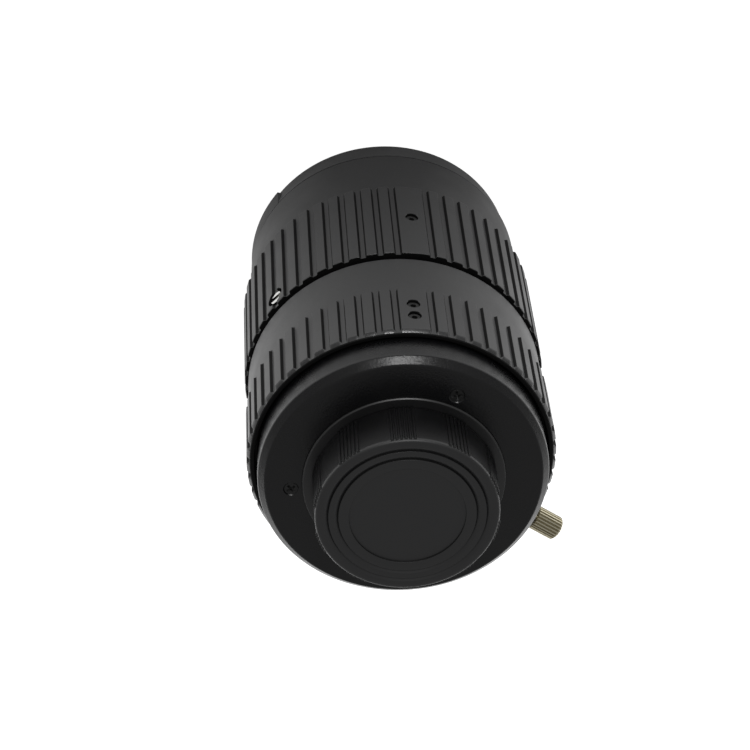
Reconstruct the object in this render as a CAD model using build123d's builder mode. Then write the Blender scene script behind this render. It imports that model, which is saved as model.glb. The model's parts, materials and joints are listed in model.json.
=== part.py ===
from build123d import *
import math
import os

# Machine vision lens for the 1 inch, 32 threads to the inch camera mount.
# Millimetres. The origin is the centre of the mount's flange seat, +Z is the optical axis
# towards the camera, and the front of the lens points down. Radii are measured from the axis,
# heights along it, and angles round it from +X.

# Clearances
running_clearance = 0.05
fit_clearance = 0.02
thread_clearance = 0.10
end_clearance = 0.10
cap_clearance = 0.10

# Camera mount ring
mount_thread_radius = 12.7
mount_thread_length = 4.0
mount_thread_bevel = 0.4
mount_relief_depth = 0.7
mount_relief_width = 0.8
mount_wall = 1.7
flange_radius = 16.5
flange_thickness = 1.5
flange_proud = 0.5
flange_bevel = 0.2
flange_overhang = 1.5
spigot_length = 7.0

# Rear housing
housing_inset = 0.2
housing_chamfer = 1.2
housing_floor = 3.5
housing_length = 8.5
housing_wall = 1.85

# Screws in the rear face
rear_screw_count = 3
rear_screw_inset = 1.8
rear_screw_first_angle = 3.0
rear_screw_radius = 0.8
rear_screw_head_radius = 1.15
rear_screw_length = 6.0
rear_screw_sink = 0.1
rear_screw_slot_width = 0.3
rear_screw_slot_depth = 0.3

# Main barrel
tube_bore_radius = 19.0
tube_wall = 1.5
tube_margin = 0.5
barrel_inset = 0.1
collar_step = 0.4
collar_width = 0.8
web_thickness = 1.0
web_bore_radius = 12.0

# Iris ring
ring_wall = 1.45
iris_ring_length = 22.0
iris_ring_rear_step = 6.1
iris_ring_rear_chamfer = 1.1
iris_ring_front_chamfer = 0.4
iris_turn = 48.0
iris_groove_length = 11.7
iris_groove_runout = 1.5
iris_groove_runout_share = 0.55
iris_groove_first_angle = 271.85
iris_strip_angle = 265.1

# Focus ring
focus_ring_length = 22.5
focus_ring_rear_chamfer = 0.3
focus_ring_front_chamfer = 0.6
focus_groove_first_angle = 268.5
focus_strip_angle = 261.8
focus_travel = 4.0

# Grip grooves of both rings
groove_count = 54
groove_width = 1.2
groove_depth = 0.5
strip_count = 3

# Screws in the rings
set_screw_radius = 1.05
set_screw_sink = 0.4
set_screw_socket = 0.9
set_screw_socket_depth = 0.5
dog_point_radius = 0.55
retaining_groove_width = 1.6
retaining_groove_depth = 0.8
retaining_groove_inset = 4.0
dog_point_clearance = 0.2
drive_pin_radius = 0.8
drive_pin_reach = 1.2
focus_screw_inset = 2.6
focus_screw_bite = 1.1
stop_screw_angle = 321.7
stop_screw_inset = 2.6
stop_screw_head_radius = 1.5
stop_screw_hole_radius = 1.8
stop_screw_shank_radius = 1.0
stop_screw_bite = 2.5
stop_screw_sink = 0.25
stop_screw_slot_width = 0.5
stop_screw_slot_depth = 0.5
stop_screw_slot_turn = 42.0

# Thumbscrew that locks the iris ring
thumb_angle = 145.1
thumb_shank_radius = 1.0
thumb_neck_radius = 1.3
thumb_neck_length = 2.0
thumb_neck_gap = 0.1
thumb_head_radius = 2.1
thumb_head_length = 5.0
thumb_head_bevel = 0.35
thumb_flute_count = 24
thumb_flute_depth = 0.2

# Iris unit
iris_plate_thickness = 0.8
iris_cup_wall = 0.95
iris_cup_bore_radius = 9.8
blade_count = 6
blade_inner_radius = 9.6
blade_width = 5.6
blade_tail_angle = 100.0
blade_head_angle = 3.0
blade_turn = 26.0
blade_thickness = 0.15
blade_layer_pitch = 0.25
blade_pivot_inset = 2.5
blade_pivot_radius = 0.5
blade_pin_radius = 0.4
blade_pin_angle = 9.0
blade_ear_inner_reach = 2.0
blade_ear_outer_reach = 0.9
blade_ear_angle = 12.0
drive_ring_thickness = 1.6
drive_ring_notch_depth = 1.6
iris_retaining_thickness = 1.2
iris_retaining_wall = 2.15
iris_retaining_gap = 5.8

# Focusing thread
helicoid_wall = 1.6
helicoid_hub_length = 3.6
helicoid_front_gap = 2.0
helicoid_collar_gap = 0.4
hub_ring_thickness = 1.5
hub_ring_wall = 1.5
sleeve_gap = 0.4
sleeve_clearance = 0.2
sleeve_wall = 1.6
key_width = 2.0
key_length = 8.0
key_start = 2.0
key_root = 0.7
key_height = 1.6

# Front barrel
skirt_clearance = 0.10
skirt_step_gap = 0.20
skirt_margin = 2.1
front_reach = 13.0
front_bevel = 0.2
filter_wall = 1.35
filter_bore_depth = 5.0
front_web_clearance = 0.3
front_web_gap = 4.0

# Lens cells and glass
rear_cell_flange_thickness = 1.2
rear_cell_nose_clearance = 0.1
rear_cell_nose_height = 2.5
rear_cell_wall = 1.3
rear_glass_seat = 1.1
rear_cell_seat = 2.2
fourth_edge = 3.5
rear_spacer_length = 1.5
rear_edge = 3.3
rear_retainer_length = 1.2
front_cell_clearance = 0.1
front_cell_wall = 1.3
front_cell_flange_clearance = 0.15
front_cell_flange_thickness = 1.5
front_glass_rim = 1.9
front_glass_seat = 2.5
second_edge = 4.0
front_spacer_length = 5.0
front_edge = 5.6
front_retainer_length = 2.6
front_retainer_inset = 0.4
third_glass_radius = 13.0
third_glass_seat = 1.6
third_glass_bore_depth = 11.0
third_edge = 5.0
third_seat_length = 3.0
middle_retainer_length = 2.0
glass_clearance = 0.10
glass_rim_margin = 0.2
front_bulge = 2.0
front_rear_bulge = 0.8
second_bulge = 1.5
second_rear_bulge = -1.5
third_bulge = 1.0
third_rear_bulge = 0.6
fourth_bulge = 1.1
fourth_rear_bulge = -0.8
rear_bulge = 0.9
rear_rear_bulge = 0.7

# Rear cap
rear_cap_wall = 2.0
rear_cap_height = 8.9
rear_cap_chamfer = 0.4
rear_cap_seat_gap = 0.05
rear_cap_end_wall = 1.5
rear_cap_rim_width = 2.2
rear_cap_ledge_width = 1.6
rear_cap_groove_width = 1.65
rear_cap_step = 0.25
rib_group_count = 10
rib_group_first_angle = 272.6
ribs_per_group = 6
rib_pitch_angle = 2.75
rib_proud = 0.25
rib_root_width = 0.5
rib_crest_width = 0.2
rib_end_gap = 0.2

# Front cap
front_cap_rim_gap = 0.2
front_cap_inset = 0.1
front_cap_draft = 0.7
front_cap_height = 5.2
front_cap_rounding = 0.9
front_cap_floor = 1.1
front_cap_spigot_wall = 1.45
front_cap_ledge = 0.8
front_cap_ledge_height = 2.7
front_cap_spigot_height = 2.0
front_cap_spigot_gap = 0.2
tab_angle = 343.0
tab_count = 2
tab_width = 17.1
tab_side_gap = 0.15
tab_reach = 6.4
tab_travel = 1.8
tab_floor_gap = 0.1
tab_wall = 1.9
tab_hook_width = 12.0
tab_hook_wall = 1.3
tab_hook_gap = 0.15
tab_hook_height = 1.7
plate_thickness = 1.0
plate_window_gap = 0.3
spring_block_length = 18.0
spring_block_width = 8.0
spring_coil_radius = 0.95
spring_wire_radius = 0.18
spring_turns = 7

# Radii that follow from the sizes above, from the inside out
tube_radius = tube_bore_radius + tube_wall
sleeve_bore = tube_radius + sleeve_clearance
sleeve_outer = sleeve_bore + sleeve_wall
helicoid_thread_radius = sleeve_outer + thread_clearance
helicoid_radius = helicoid_thread_radius + helicoid_wall
hub_ring_radius = tube_radius + hub_ring_wall
barrel_radius = helicoid_radius - barrel_inset
collar_radius = barrel_radius + collar_step
iris_ring_bore = barrel_radius + running_clearance
iris_ring_radius = iris_ring_bore + ring_wall
focus_ring_bore = helicoid_radius + running_clearance
focus_ring_radius = focus_ring_bore + ring_wall
housing_radius = barrel_radius - housing_inset
housing_bore = housing_radius - housing_wall
barrel_spigot_radius = housing_bore - running_clearance
front_radius = helicoid_radius
skirt_radius = focus_ring_bore - skirt_clearance
filter_bore_radius = front_radius - filter_wall
front_cell_flange_radius = filter_bore_radius - front_cell_flange_clearance
front_cell_radius = tube_bore_radius - front_cell_clearance
front_web_bore_radius = front_cell_radius + front_web_clearance
front_glass_radius = front_cell_radius - front_cell_wall - glass_clearance
front_glass_clear_radius = front_glass_radius - front_glass_rim
front_cell_seat_radius = front_glass_radius - front_glass_seat
third_glass_clear_radius = third_glass_radius - third_glass_seat
spigot_radius = flange_radius - flange_overhang
mount_bore_radius = mount_thread_radius - mount_wall
rear_cell_nose_radius = mount_bore_radius - rear_cell_nose_clearance
rear_glass_radius = rear_cell_nose_radius - rear_cell_wall - glass_clearance
rear_glass_clear_radius = rear_glass_radius - rear_glass_seat
rear_screw_circle_radius = flange_radius + rear_screw_inset
cup_radius = tube_bore_radius - running_clearance
cup_bore = cup_radius - iris_cup_wall
drive_ring_radius = cup_bore - end_clearance
blade_pivot_circle_radius = tube_bore_radius - blade_pivot_inset
blade_outer_radius = blade_inner_radius + blade_width
iris_retaining_bore_radius = cup_radius - iris_retaining_wall
rear_cap_radius = mount_thread_radius + cap_clearance + rear_cap_wall
rear_cap_ring_radius = rear_cap_radius - rear_cap_rim_width
rear_cap_pan_radius = rear_cap_ring_radius - rear_cap_ledge_width
rear_cap_disc_radius = rear_cap_pan_radius - rear_cap_groove_width
front_cap_rear_radius = front_radius - front_cap_inset
front_cap_front_radius = front_cap_rear_radius - front_cap_draft
spigot_outer = filter_bore_radius - front_cap_spigot_gap
front_cap_bore_radius = spigot_outer - front_cap_spigot_wall
tab_inner_face = front_cap_rear_radius - tab_reach
key_slot_width = key_width + 2 * running_clearance
set_screw_hole = set_screw_radius + running_clearance

# Heights that follow, from the rear to the front
cap_face = rear_cap_height
housing_top = -flange_proud
housing_floor_end = housing_top - housing_floor
housing_end = housing_top - housing_length
spigot_end = -flange_thickness - spigot_length
web_top = spigot_end - rear_cell_flange_thickness
web_end = web_top - web_thickness
plate_front = web_end - iris_plate_thickness
blade_stack_rear = plate_front - end_clearance
drive_ring_rear = blade_stack_rear - blade_count * blade_layer_pitch - end_clearance
drive_ring_front = drive_ring_rear - drive_ring_thickness
cup_front = drive_ring_front - 2 * end_clearance
iris_retaining_front = cup_front - iris_retaining_thickness
iris_ring_rear = housing_top - iris_ring_rear_step
iris_ring_front = iris_ring_rear - iris_ring_length
retaining_groove_height = iris_ring_rear - retaining_groove_inset
drive_screw_height = (drive_ring_rear + drive_ring_front) / 2
bearing_end = iris_ring_front - end_clearance
collar_end = bearing_end - collar_width
focus_ring_rear = collar_end - end_clearance
focus_ring_front = focus_ring_rear - focus_ring_length
stop_screw_height = focus_ring_rear - stop_screw_inset
skirt_rear = focus_ring_front + focus_travel + skirt_margin
helicoid_rear = collar_end - helicoid_collar_gap
helicoid_hub_end = helicoid_rear - helicoid_hub_length
helicoid_front = skirt_rear + helicoid_front_gap
focus_screw_height = helicoid_front + focus_screw_inset
hub_ring_rear = helicoid_hub_end - end_clearance
hub_ring_front = hub_ring_rear - hub_ring_thickness
sleeve_rear = hub_ring_front - sleeve_gap
key_rear = sleeve_rear - key_start
key_front = key_rear - key_length
tube_end = key_front - tube_margin
front_rim = focus_ring_front - front_reach
filter_seat = front_rim + filter_bore_depth
front_web_rear = tube_end - front_web_gap


def radial_plane(angle, radius, height):
    """Plane that faces outwards, at an angle round the axis and a radius from it."""
    outward = Vector(1, 0, 0).rotate(Axis.Z, angle)
    origin = outward * radius + Vector(0, 0, height)
    return Plane(origin=origin, x_dir=(0, 0, 1), z_dir=outward)


def turned_plane(angle, height):
    """Plane across the axis at a height, with its X turned to an angle."""
    return Plane.XY.offset(height).rotated((0, 0, angle))


def ring_sector(inner, outer, start, sweep):
    """Sketch of the part of a ring between two angles."""
    with BuildSketch(mode=Mode.PRIVATE) as sector:
        with BuildLine():
            outer_arc = CenterArc((0, 0), outer, start, sweep)
            inner_arc = CenterArc((0, 0), inner, start, sweep)
            Line(outer_arc @ 0, inner_arc @ 0)
            Line(outer_arc @ 1, inner_arc @ 1)
        make_face()
    return sector.sketch


def plain_ring(outer, inner, front, rear):
    """Ring with square edges between two heights."""
    with BuildPart() as ring:
        with BuildSketch(Plane.XY.offset(front)):
            Circle(outer)
            Circle(inner, mode=Mode.SUBTRACT)
        extrude(amount=rear - front)
    return ring


def glass_element(radius, clear, front, rear, front_bulge, rear_bulge):
    """Lens element with flat rims and two spherical faces; a bulge below 0 is hollow."""
    front_mid = arc_height(clear, front_bulge)
    rear_mid = arc_height(clear, rear_bulge)
    with BuildPart() as element:
        with BuildSketch(Plane.XZ):
            with BuildLine():
                Polyline((clear, front), (radius, front), (radius, rear), (clear, rear))
                ThreePointArc((clear, rear), (clear / 2, rear + rear_mid), (0, rear + rear_bulge))
                Line((0, rear + rear_bulge), (0, front - front_bulge))
                ThreePointArc((0, front - front_bulge), (clear / 2, front - front_mid), (clear, front))
            make_face()
        revolve(axis=Axis.Z)
    return element


def arc_height(half_chord, bulge):
    """Height of a spherical face above its rim at half its radius."""
    sphere = (half_chord**2 + bulge**2) / (2 * abs(bulge))
    drop = sphere - math.sqrt(sphere**2 - (half_chord / 2) ** 2)
    return math.copysign(abs(bulge) - drop, bulge)


def groove_angles(first):
    """Angles of a ring's grooves, leaving out one for each smooth strip."""
    pitch = 360.0 / groove_count
    strip_every = groove_count // strip_count
    return [first + n * pitch for n in range(groove_count) if (n + 1) % strip_every]


def strip_angles(first):
    """Angles of a ring's smooth strips."""
    return [first + n * 360.0 / strip_count for n in range(strip_count)]


# Camera mount ring: flange, thread nose and the spigot that clamps the rear housing
with BuildPart() as c_mount_ring:
    with BuildSketch(Plane.XZ):
        with BuildLine():
            Polyline(
                (mount_bore_radius, spigot_end),
                (spigot_radius, spigot_end),
                (spigot_radius, -flange_thickness),
                (flange_radius, -flange_thickness),
                (flange_radius, -flange_bevel),
                (flange_radius - flange_bevel, 0),
                (mount_thread_radius - mount_relief_depth, 0),
                (mount_thread_radius - mount_relief_depth, mount_relief_width),
                (mount_thread_radius, mount_relief_width),
                (mount_thread_radius, mount_thread_length - mount_thread_bevel),
                (mount_thread_radius - mount_thread_bevel, mount_thread_length),
                (mount_bore_radius, mount_thread_length),
                close=True,
            )
        make_face()
    revolve(axis=Axis.Z)

# Rear housing: cup with the flange let into its face
rear_screw_hole = rear_screw_radius + running_clearance
countersink_radius = rear_screw_head_radius + rear_screw_sink + running_clearance
with BuildPart() as rear_housing:
    with BuildSketch(Plane.XZ):
        with BuildLine():
            Polyline(
                (spigot_radius + fit_clearance, housing_floor_end),
                (housing_bore, housing_floor_end),
                (housing_bore, housing_end),
                (housing_radius, housing_end),
                (housing_radius, housing_top - housing_chamfer),
                (housing_radius - housing_chamfer, housing_top),
                (flange_radius + fit_clearance, housing_top),
                (flange_radius + fit_clearance, -flange_thickness),
                (spigot_radius + fit_clearance, -flange_thickness),
                close=True,
            )
        make_face()
    revolve(axis=Axis.Z)
    with Locations(Plane.XY.offset(housing_top)):
        with PolarLocations(rear_screw_circle_radius, rear_screw_count, rear_screw_first_angle):
            CounterSinkHole(rear_screw_hole, countersink_radius, depth=housing_floor)

# Screws of the rear face, one group of three
screw_top = housing_top - rear_screw_sink
head_height = rear_screw_head_radius - rear_screw_radius
with BuildPart() as rear_housing_screws:
    with BuildSketch(Plane.XY.offset(screw_top)):
        with PolarLocations(rear_screw_circle_radius, rear_screw_count, rear_screw_first_angle):
            Circle(rear_screw_radius)
    extrude(amount=-rear_screw_length)
    with Locations(Plane.XY.offset(screw_top - head_height / 2)):
        with PolarLocations(rear_screw_circle_radius, rear_screw_count, rear_screw_first_angle):
            Cone(rear_screw_radius, rear_screw_head_radius, head_height)
    with BuildSketch(Plane.XY.offset(screw_top)):
        with PolarLocations(rear_screw_circle_radius, rear_screw_count, rear_screw_first_angle):
            Rectangle(2 * rear_screw_radius, rear_screw_slot_width)
            Rectangle(rear_screw_slot_width, 2 * rear_screw_radius)
    extrude(amount=-rear_screw_slot_depth, mode=Mode.SUBTRACT)

# Main barrel: the tube that carries every other piece
retaining_top = retaining_groove_height + retaining_groove_width / 2
retaining_end = retaining_top - retaining_groove_width
groove_floor_radius = barrel_radius - retaining_groove_depth
drive_slot_half = drive_pin_radius + dog_point_clearance
drive_slot_margin = math.degrees((drive_slot_half + running_clearance) / drive_ring_radius)
drive_slot_sweep = iris_turn + 2 * drive_slot_margin
pocket_floor = tube_radius - key_root
screw_bite_end = screw_top - rear_screw_length - end_clearance
with BuildPart() as main_barrel:
    with BuildSketch(Plane.XZ):
        with BuildLine():
            Polyline(
                (spigot_radius + fit_clearance, housing_floor_end),
                (barrel_spigot_radius, housing_floor_end),
                (barrel_spigot_radius, housing_end),
                (barrel_radius, housing_end),
                (barrel_radius, retaining_top),
                (groove_floor_radius, retaining_top),
                (groove_floor_radius, retaining_end),
                (barrel_radius, retaining_end),
                (barrel_radius, bearing_end),
                (collar_radius, bearing_end),
                (collar_radius, collar_end),
                (tube_radius, collar_end),
                (tube_radius, tube_end),
                (tube_bore_radius, tube_end),
                (tube_bore_radius, web_end),
                (web_bore_radius, web_end),
                (web_bore_radius, web_top),
                (spigot_radius + fit_clearance, web_top),
                close=True,
            )
        make_face()
    revolve(axis=Axis.Z)
    with BuildSketch(Plane.XY.offset(screw_bite_end)):
        with PolarLocations(rear_screw_circle_radius, rear_screw_count, rear_screw_first_angle):
            Circle(rear_screw_hole)
    extrude(amount=housing_floor_end - screw_bite_end, mode=Mode.SUBTRACT)
    with BuildSketch(Plane.XY.offset(drive_screw_height - drive_slot_half)):
        add(
            ring_sector(
                tube_bore_radius - end_clearance,
                barrel_radius + end_clearance,
                iris_strip_angle - drive_slot_margin,
                drive_slot_sweep,
            )
        )
    extrude(amount=2 * drive_slot_half, mode=Mode.SUBTRACT)
    with BuildSketch(turned_plane(focus_strip_angle, key_front - fit_clearance)):
        with Locations((pocket_floor + key_root, 0)):
            Rectangle(2 * key_root, key_width + 2 * fit_clearance)
    extrude(amount=key_length + 2 * fit_clearance, mode=Mode.SUBTRACT)

# Iris ring: grooves that open at its rear edge, holes in its smooth strips
with BuildPart(mode=Mode.PRIVATE) as iris_groove_cutter:
    groove_floor = iris_ring_radius - groove_depth
    groove_end = iris_ring_rear - iris_groove_length
    runout_middle = groove_end + iris_groove_runout / 3
    clear_of_ring = iris_ring_radius + groove_depth
    with BuildSketch(Plane.XZ.offset(-groove_width / 2)):
        with BuildLine():
            Polyline(
                (iris_ring_radius, groove_end),
                (clear_of_ring, groove_end),
                (clear_of_ring, iris_ring_rear + end_clearance),
                (groove_floor, iris_ring_rear + end_clearance),
                (groove_floor, groove_end + iris_groove_runout),
            )
            ThreePointArc(
                (groove_floor, groove_end + iris_groove_runout),
                (iris_ring_radius - groove_depth * iris_groove_runout_share, runout_middle),
                (iris_ring_radius, groove_end),
            )
        make_face()
    extrude(amount=groove_width)

with BuildPart() as iris_ring:
    with BuildSketch(Plane.XZ):
        with BuildLine():
            Polyline(
                (iris_ring_bore, iris_ring_front),
                (iris_ring_radius - iris_ring_front_chamfer, iris_ring_front),
                (iris_ring_radius, iris_ring_front + iris_ring_front_chamfer),
                (iris_ring_radius, iris_ring_rear - iris_ring_rear_chamfer),
                (iris_ring_radius - iris_ring_rear_chamfer, iris_ring_rear),
                (iris_ring_bore, iris_ring_rear),
                close=True,
            )
        make_face()
    revolve(axis=Axis.Z)
    with Locations(*[Location((0, 0, 0), (0, 0, a)) for a in groove_angles(iris_groove_first_angle)]):
        add(iris_groove_cutter.part, mode=Mode.SUBTRACT)
    for angle in strip_angles(iris_strip_angle):
        with BuildSketch(radial_plane(angle, barrel_radius, retaining_groove_height)):
            Circle(set_screw_hole)
        extrude(amount=iris_ring_radius - barrel_radius + groove_depth, mode=Mode.SUBTRACT)
    with BuildSketch(radial_plane(iris_strip_angle, barrel_radius, drive_screw_height)):
        Circle(set_screw_hole)
    extrude(amount=iris_ring_radius - barrel_radius + groove_depth, mode=Mode.SUBTRACT)

# Set screws whose points run in the barrel's groove and keep the iris ring in place
screw_outer_end = iris_ring_radius - set_screw_sink
dog_shoulder = iris_ring_bore + running_clearance
dog_end = groove_floor_radius + dog_point_clearance
set_screw_hole_angle = math.degrees(set_screw_hole / iris_ring_radius)
with BuildPart() as iris_set_screws:
    for angle in strip_angles(iris_strip_angle):
        if abs(angle % 360.0 - thumb_angle) > set_screw_hole_angle:
            with BuildSketch(radial_plane(angle, dog_shoulder, retaining_groove_height)):
                Circle(set_screw_radius)
            extrude(amount=screw_outer_end - dog_shoulder)
            with BuildSketch(radial_plane(angle, dog_end, retaining_groove_height)):
                Circle(dog_point_radius)
            extrude(amount=dog_shoulder - dog_end)
            with BuildSketch(radial_plane(angle, screw_outer_end, retaining_groove_height)):
                RegularPolygon(set_screw_socket / 2, 6, major_radius=False)
            extrude(amount=-set_screw_socket_depth, mode=Mode.SUBTRACT)

# Drive screw: turns the iris drive ring through the slot in the barrel
drive_pin_end = drive_ring_radius - drive_pin_reach
with BuildPart() as iris_drive_screw:
    with BuildSketch(radial_plane(iris_strip_angle, dog_shoulder, drive_screw_height)):
        Circle(set_screw_radius)
    extrude(amount=screw_outer_end - dog_shoulder)
    with BuildSketch(radial_plane(iris_strip_angle, drive_pin_end, drive_screw_height)):
        Circle(drive_pin_radius)
    extrude(amount=dog_shoulder - drive_pin_end)
    with BuildSketch(radial_plane(iris_strip_angle, screw_outer_end, drive_screw_height)):
        RegularPolygon(set_screw_socket / 2, 6, major_radius=False)
    extrude(amount=-set_screw_socket_depth, mode=Mode.SUBTRACT)

# Knurled thumbscrew that locks the iris ring
thumb_neck_start = iris_ring_radius + thumb_neck_gap
thumb_head_start = thumb_neck_start + thumb_neck_length
thumb_height = retaining_groove_height
with BuildPart() as iris_lock_screw:
    with BuildSketch(radial_plane(thumb_angle, dog_end, thumb_height)):
        Circle(dog_point_radius)
    extrude(amount=dog_shoulder - dog_end)
    with BuildSketch(radial_plane(thumb_angle, dog_shoulder, thumb_height)):
        Circle(thumb_shank_radius)
    extrude(amount=thumb_neck_start - dog_shoulder)
    with BuildSketch(radial_plane(thumb_angle, thumb_neck_start, thumb_height)):
        Circle(thumb_neck_radius)
    extrude(amount=thumb_neck_length)
    with BuildSketch(radial_plane(thumb_angle, thumb_head_start, thumb_height)):
        Circle(thumb_head_radius)
    extrude(amount=thumb_head_length)
    thumb_end_edges = edges().filter_by(GeomType.CIRCLE).filter_by(
        lambda edge: abs(edge.radius - thumb_head_radius) < end_clearance
    )
    chamfer(thumb_end_edges, thumb_head_bevel)
    with BuildSketch(radial_plane(thumb_angle, thumb_head_start, thumb_height)):
        with PolarLocations(thumb_head_radius, thumb_flute_count):
            Rectangle(2 * thumb_flute_depth, thumb_flute_depth)
    extrude(amount=thumb_head_length, mode=Mode.SUBTRACT)

# Focus ring: grooves along its whole length
with BuildPart() as focus_ring:
    with BuildSketch(Plane.XZ):
        with BuildLine():
            Polyline(
                (focus_ring_bore, focus_ring_front),
                (focus_ring_radius - focus_ring_front_chamfer, focus_ring_front),
                (focus_ring_radius, focus_ring_front + focus_ring_front_chamfer),
                (focus_ring_radius, focus_ring_rear - focus_ring_rear_chamfer),
                (focus_ring_radius - focus_ring_rear_chamfer, focus_ring_rear),
                (focus_ring_bore, focus_ring_rear),
                close=True,
            )
        make_face()
    revolve(axis=Axis.Z)
    with BuildSketch(Plane.XY.offset(focus_ring_front)):
        with Locations(
            *[
                Location(Vector(focus_ring_radius, 0, 0).rotate(Axis.Z, a), (0, 0, a))
                for a in groove_angles(focus_groove_first_angle)
            ]
        ):
            Rectangle(2 * groove_depth, groove_width)
    extrude(amount=focus_ring_length, mode=Mode.SUBTRACT)
    for angle in strip_angles(focus_strip_angle):
        with BuildSketch(radial_plane(angle, helicoid_radius, focus_screw_height)):
            Circle(set_screw_hole)
        extrude(amount=focus_ring_radius - helicoid_radius + groove_depth, mode=Mode.SUBTRACT)
    with BuildSketch(radial_plane(stop_screw_angle, helicoid_radius, stop_screw_height)):
        Circle(stop_screw_hole_radius)
    extrude(amount=focus_ring_radius - helicoid_radius + groove_depth, mode=Mode.SUBTRACT)

# Ring with the inside half of the focusing thread, fixed in the focus ring
with BuildPart() as helicoid_ring:
    with BuildSketch(Plane.XZ):
        with BuildLine():
            Polyline(
                (helicoid_thread_radius, helicoid_front),
                (helicoid_radius, helicoid_front),
                (helicoid_radius, helicoid_rear),
                (tube_radius + running_clearance, helicoid_rear),
                (tube_radius + running_clearance, helicoid_hub_end),
                (helicoid_thread_radius, helicoid_hub_end),
                close=True,
            )
        make_face()
    revolve(axis=Axis.Z)
    for angle in strip_angles(focus_strip_angle):
        hole_floor = helicoid_radius - focus_screw_bite - fit_clearance
        with BuildSketch(radial_plane(angle, hole_floor, focus_screw_height)):
            Circle(set_screw_hole)
        extrude(amount=helicoid_radius - hole_floor + end_clearance, mode=Mode.SUBTRACT)
    stop_hole_floor = helicoid_radius - stop_screw_bite - fit_clearance
    with BuildSketch(radial_plane(stop_screw_angle, stop_hole_floor, stop_screw_height)):
        Circle(stop_screw_shank_radius + fit_clearance)
    extrude(amount=helicoid_radius - stop_hole_floor + end_clearance, mode=Mode.SUBTRACT)

# Set screws that fix the focus ring on its helicoid
focus_screw_inner_end = helicoid_radius - focus_screw_bite
focus_screw_outer_end = focus_ring_radius - set_screw_sink
with BuildPart() as focus_set_screws:
    for angle in strip_angles(focus_strip_angle):
        with BuildSketch(radial_plane(angle, focus_screw_inner_end, focus_screw_height)):
            Circle(set_screw_radius)
        extrude(amount=focus_screw_outer_end - focus_screw_inner_end)
        with BuildSketch(radial_plane(angle, focus_screw_outer_end, focus_screw_height)):
            RegularPolygon(set_screw_socket / 2, 6, major_radius=False)
        extrude(amount=-set_screw_socket_depth, mode=Mode.SUBTRACT)

# Slotted screw near the rear edge of the focus ring
stop_head_seat = helicoid_radius + fit_clearance
stop_head_top = focus_ring_radius - stop_screw_sink
with BuildPart() as focus_stop_screw:
    with BuildSketch(radial_plane(stop_screw_angle, helicoid_radius - stop_screw_bite, stop_screw_height)):
        Circle(stop_screw_shank_radius)
    extrude(amount=stop_head_seat - helicoid_radius + stop_screw_bite)
    with BuildSketch(radial_plane(stop_screw_angle, stop_head_seat, stop_screw_height)):
        Circle(stop_screw_head_radius)
    extrude(amount=stop_head_top - stop_head_seat)
    with BuildSketch(radial_plane(stop_screw_angle, stop_head_top, stop_screw_height)):
        Rectangle(2 * stop_screw_head_radius, stop_screw_slot_width, rotation=stop_screw_slot_turn)
    extrude(amount=-stop_screw_slot_depth, mode=Mode.SUBTRACT)

# Ring that keeps the helicoid ring on the barrel's tube
helicoid_retaining_ring = plain_ring(
    hub_ring_radius, tube_radius + fit_clearance, hub_ring_front, hub_ring_rear
)

# Key that keeps the front barrel from turning
with BuildPart() as guide_key:
    with BuildSketch(turned_plane(focus_strip_angle, key_front)):
        Circle(tube_radius + key_height)
        with Locations((pocket_floor + fit_clearance + key_height, 0)):
            Rectangle(2 * key_height, key_width, mode=Mode.INTERSECT)
    extrude(amount=key_length)

# Front barrel: visible sleeve, filter thread bore and the outside half of the focusing thread
with BuildPart() as front_barrel:
    skirt_step = focus_ring_front - skirt_step_gap
    with BuildSketch(Plane.XZ):
        with BuildLine():
            Polyline(
                (sleeve_bore, sleeve_rear),
                (sleeve_outer, sleeve_rear),
                (sleeve_outer, skirt_rear),
                (skirt_radius, skirt_rear),
                (skirt_radius, skirt_step),
                (front_radius, skirt_step),
                (front_radius, front_rim + front_bevel),
                (front_radius - front_bevel, front_rim),
                (filter_bore_radius, front_rim),
                (filter_bore_radius, filter_seat),
                (front_web_bore_radius, filter_seat),
                (front_web_bore_radius, front_web_rear),
                (sleeve_bore, front_web_rear),
                close=True,
            )
        make_face()
    revolve(axis=Axis.Z)
    with BuildSketch(turned_plane(focus_strip_angle, key_front - end_clearance)):
        with Locations((sleeve_outer, 0)):
            Rectangle(2 * sleeve_wall + end_clearance, key_slot_width)
    extrude(amount=sleeve_rear - key_front + 2 * end_clearance, mode=Mode.SUBTRACT)

# Rear cell with its two elements, spacer and retaining ring
rear_bore = rear_glass_radius + glass_clearance
rear_seat = web_top + rear_cell_seat
fourth_rear = rear_seat + fourth_edge
rear_element_front = fourth_rear + rear_spacer_length
rear_element_rear = rear_element_front + rear_edge
with BuildPart() as rear_cell:
    with BuildSketch(Plane.XZ):
        with BuildLine():
            Polyline(
                (rear_glass_clear_radius, web_top),
                (spigot_radius, web_top),
                (spigot_radius, spigot_end),
                (rear_cell_nose_radius, spigot_end),
                (rear_cell_nose_radius, rear_cell_nose_height),
                (rear_bore, rear_cell_nose_height),
                (rear_bore, rear_seat),
                (rear_glass_clear_radius, rear_seat),
                close=True,
            )
        make_face()
    revolve(axis=Axis.Z)

rear_dome_radius = rear_glass_clear_radius - glass_rim_margin
fourth_element = glass_element(
    rear_glass_radius, rear_dome_radius, rear_seat, fourth_rear, fourth_bulge, fourth_rear_bulge
)
rear_spacer = plain_ring(rear_glass_radius, rear_glass_clear_radius, fourth_rear, rear_element_front)
rear_element = glass_element(
    rear_glass_radius,
    rear_dome_radius,
    rear_element_front,
    rear_element_rear,
    rear_bulge,
    rear_rear_bulge,
)
rear_retaining_ring = plain_ring(
    rear_glass_radius,
    rear_glass_clear_radius,
    rear_element_rear,
    rear_element_rear + rear_retainer_length,
)

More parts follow.
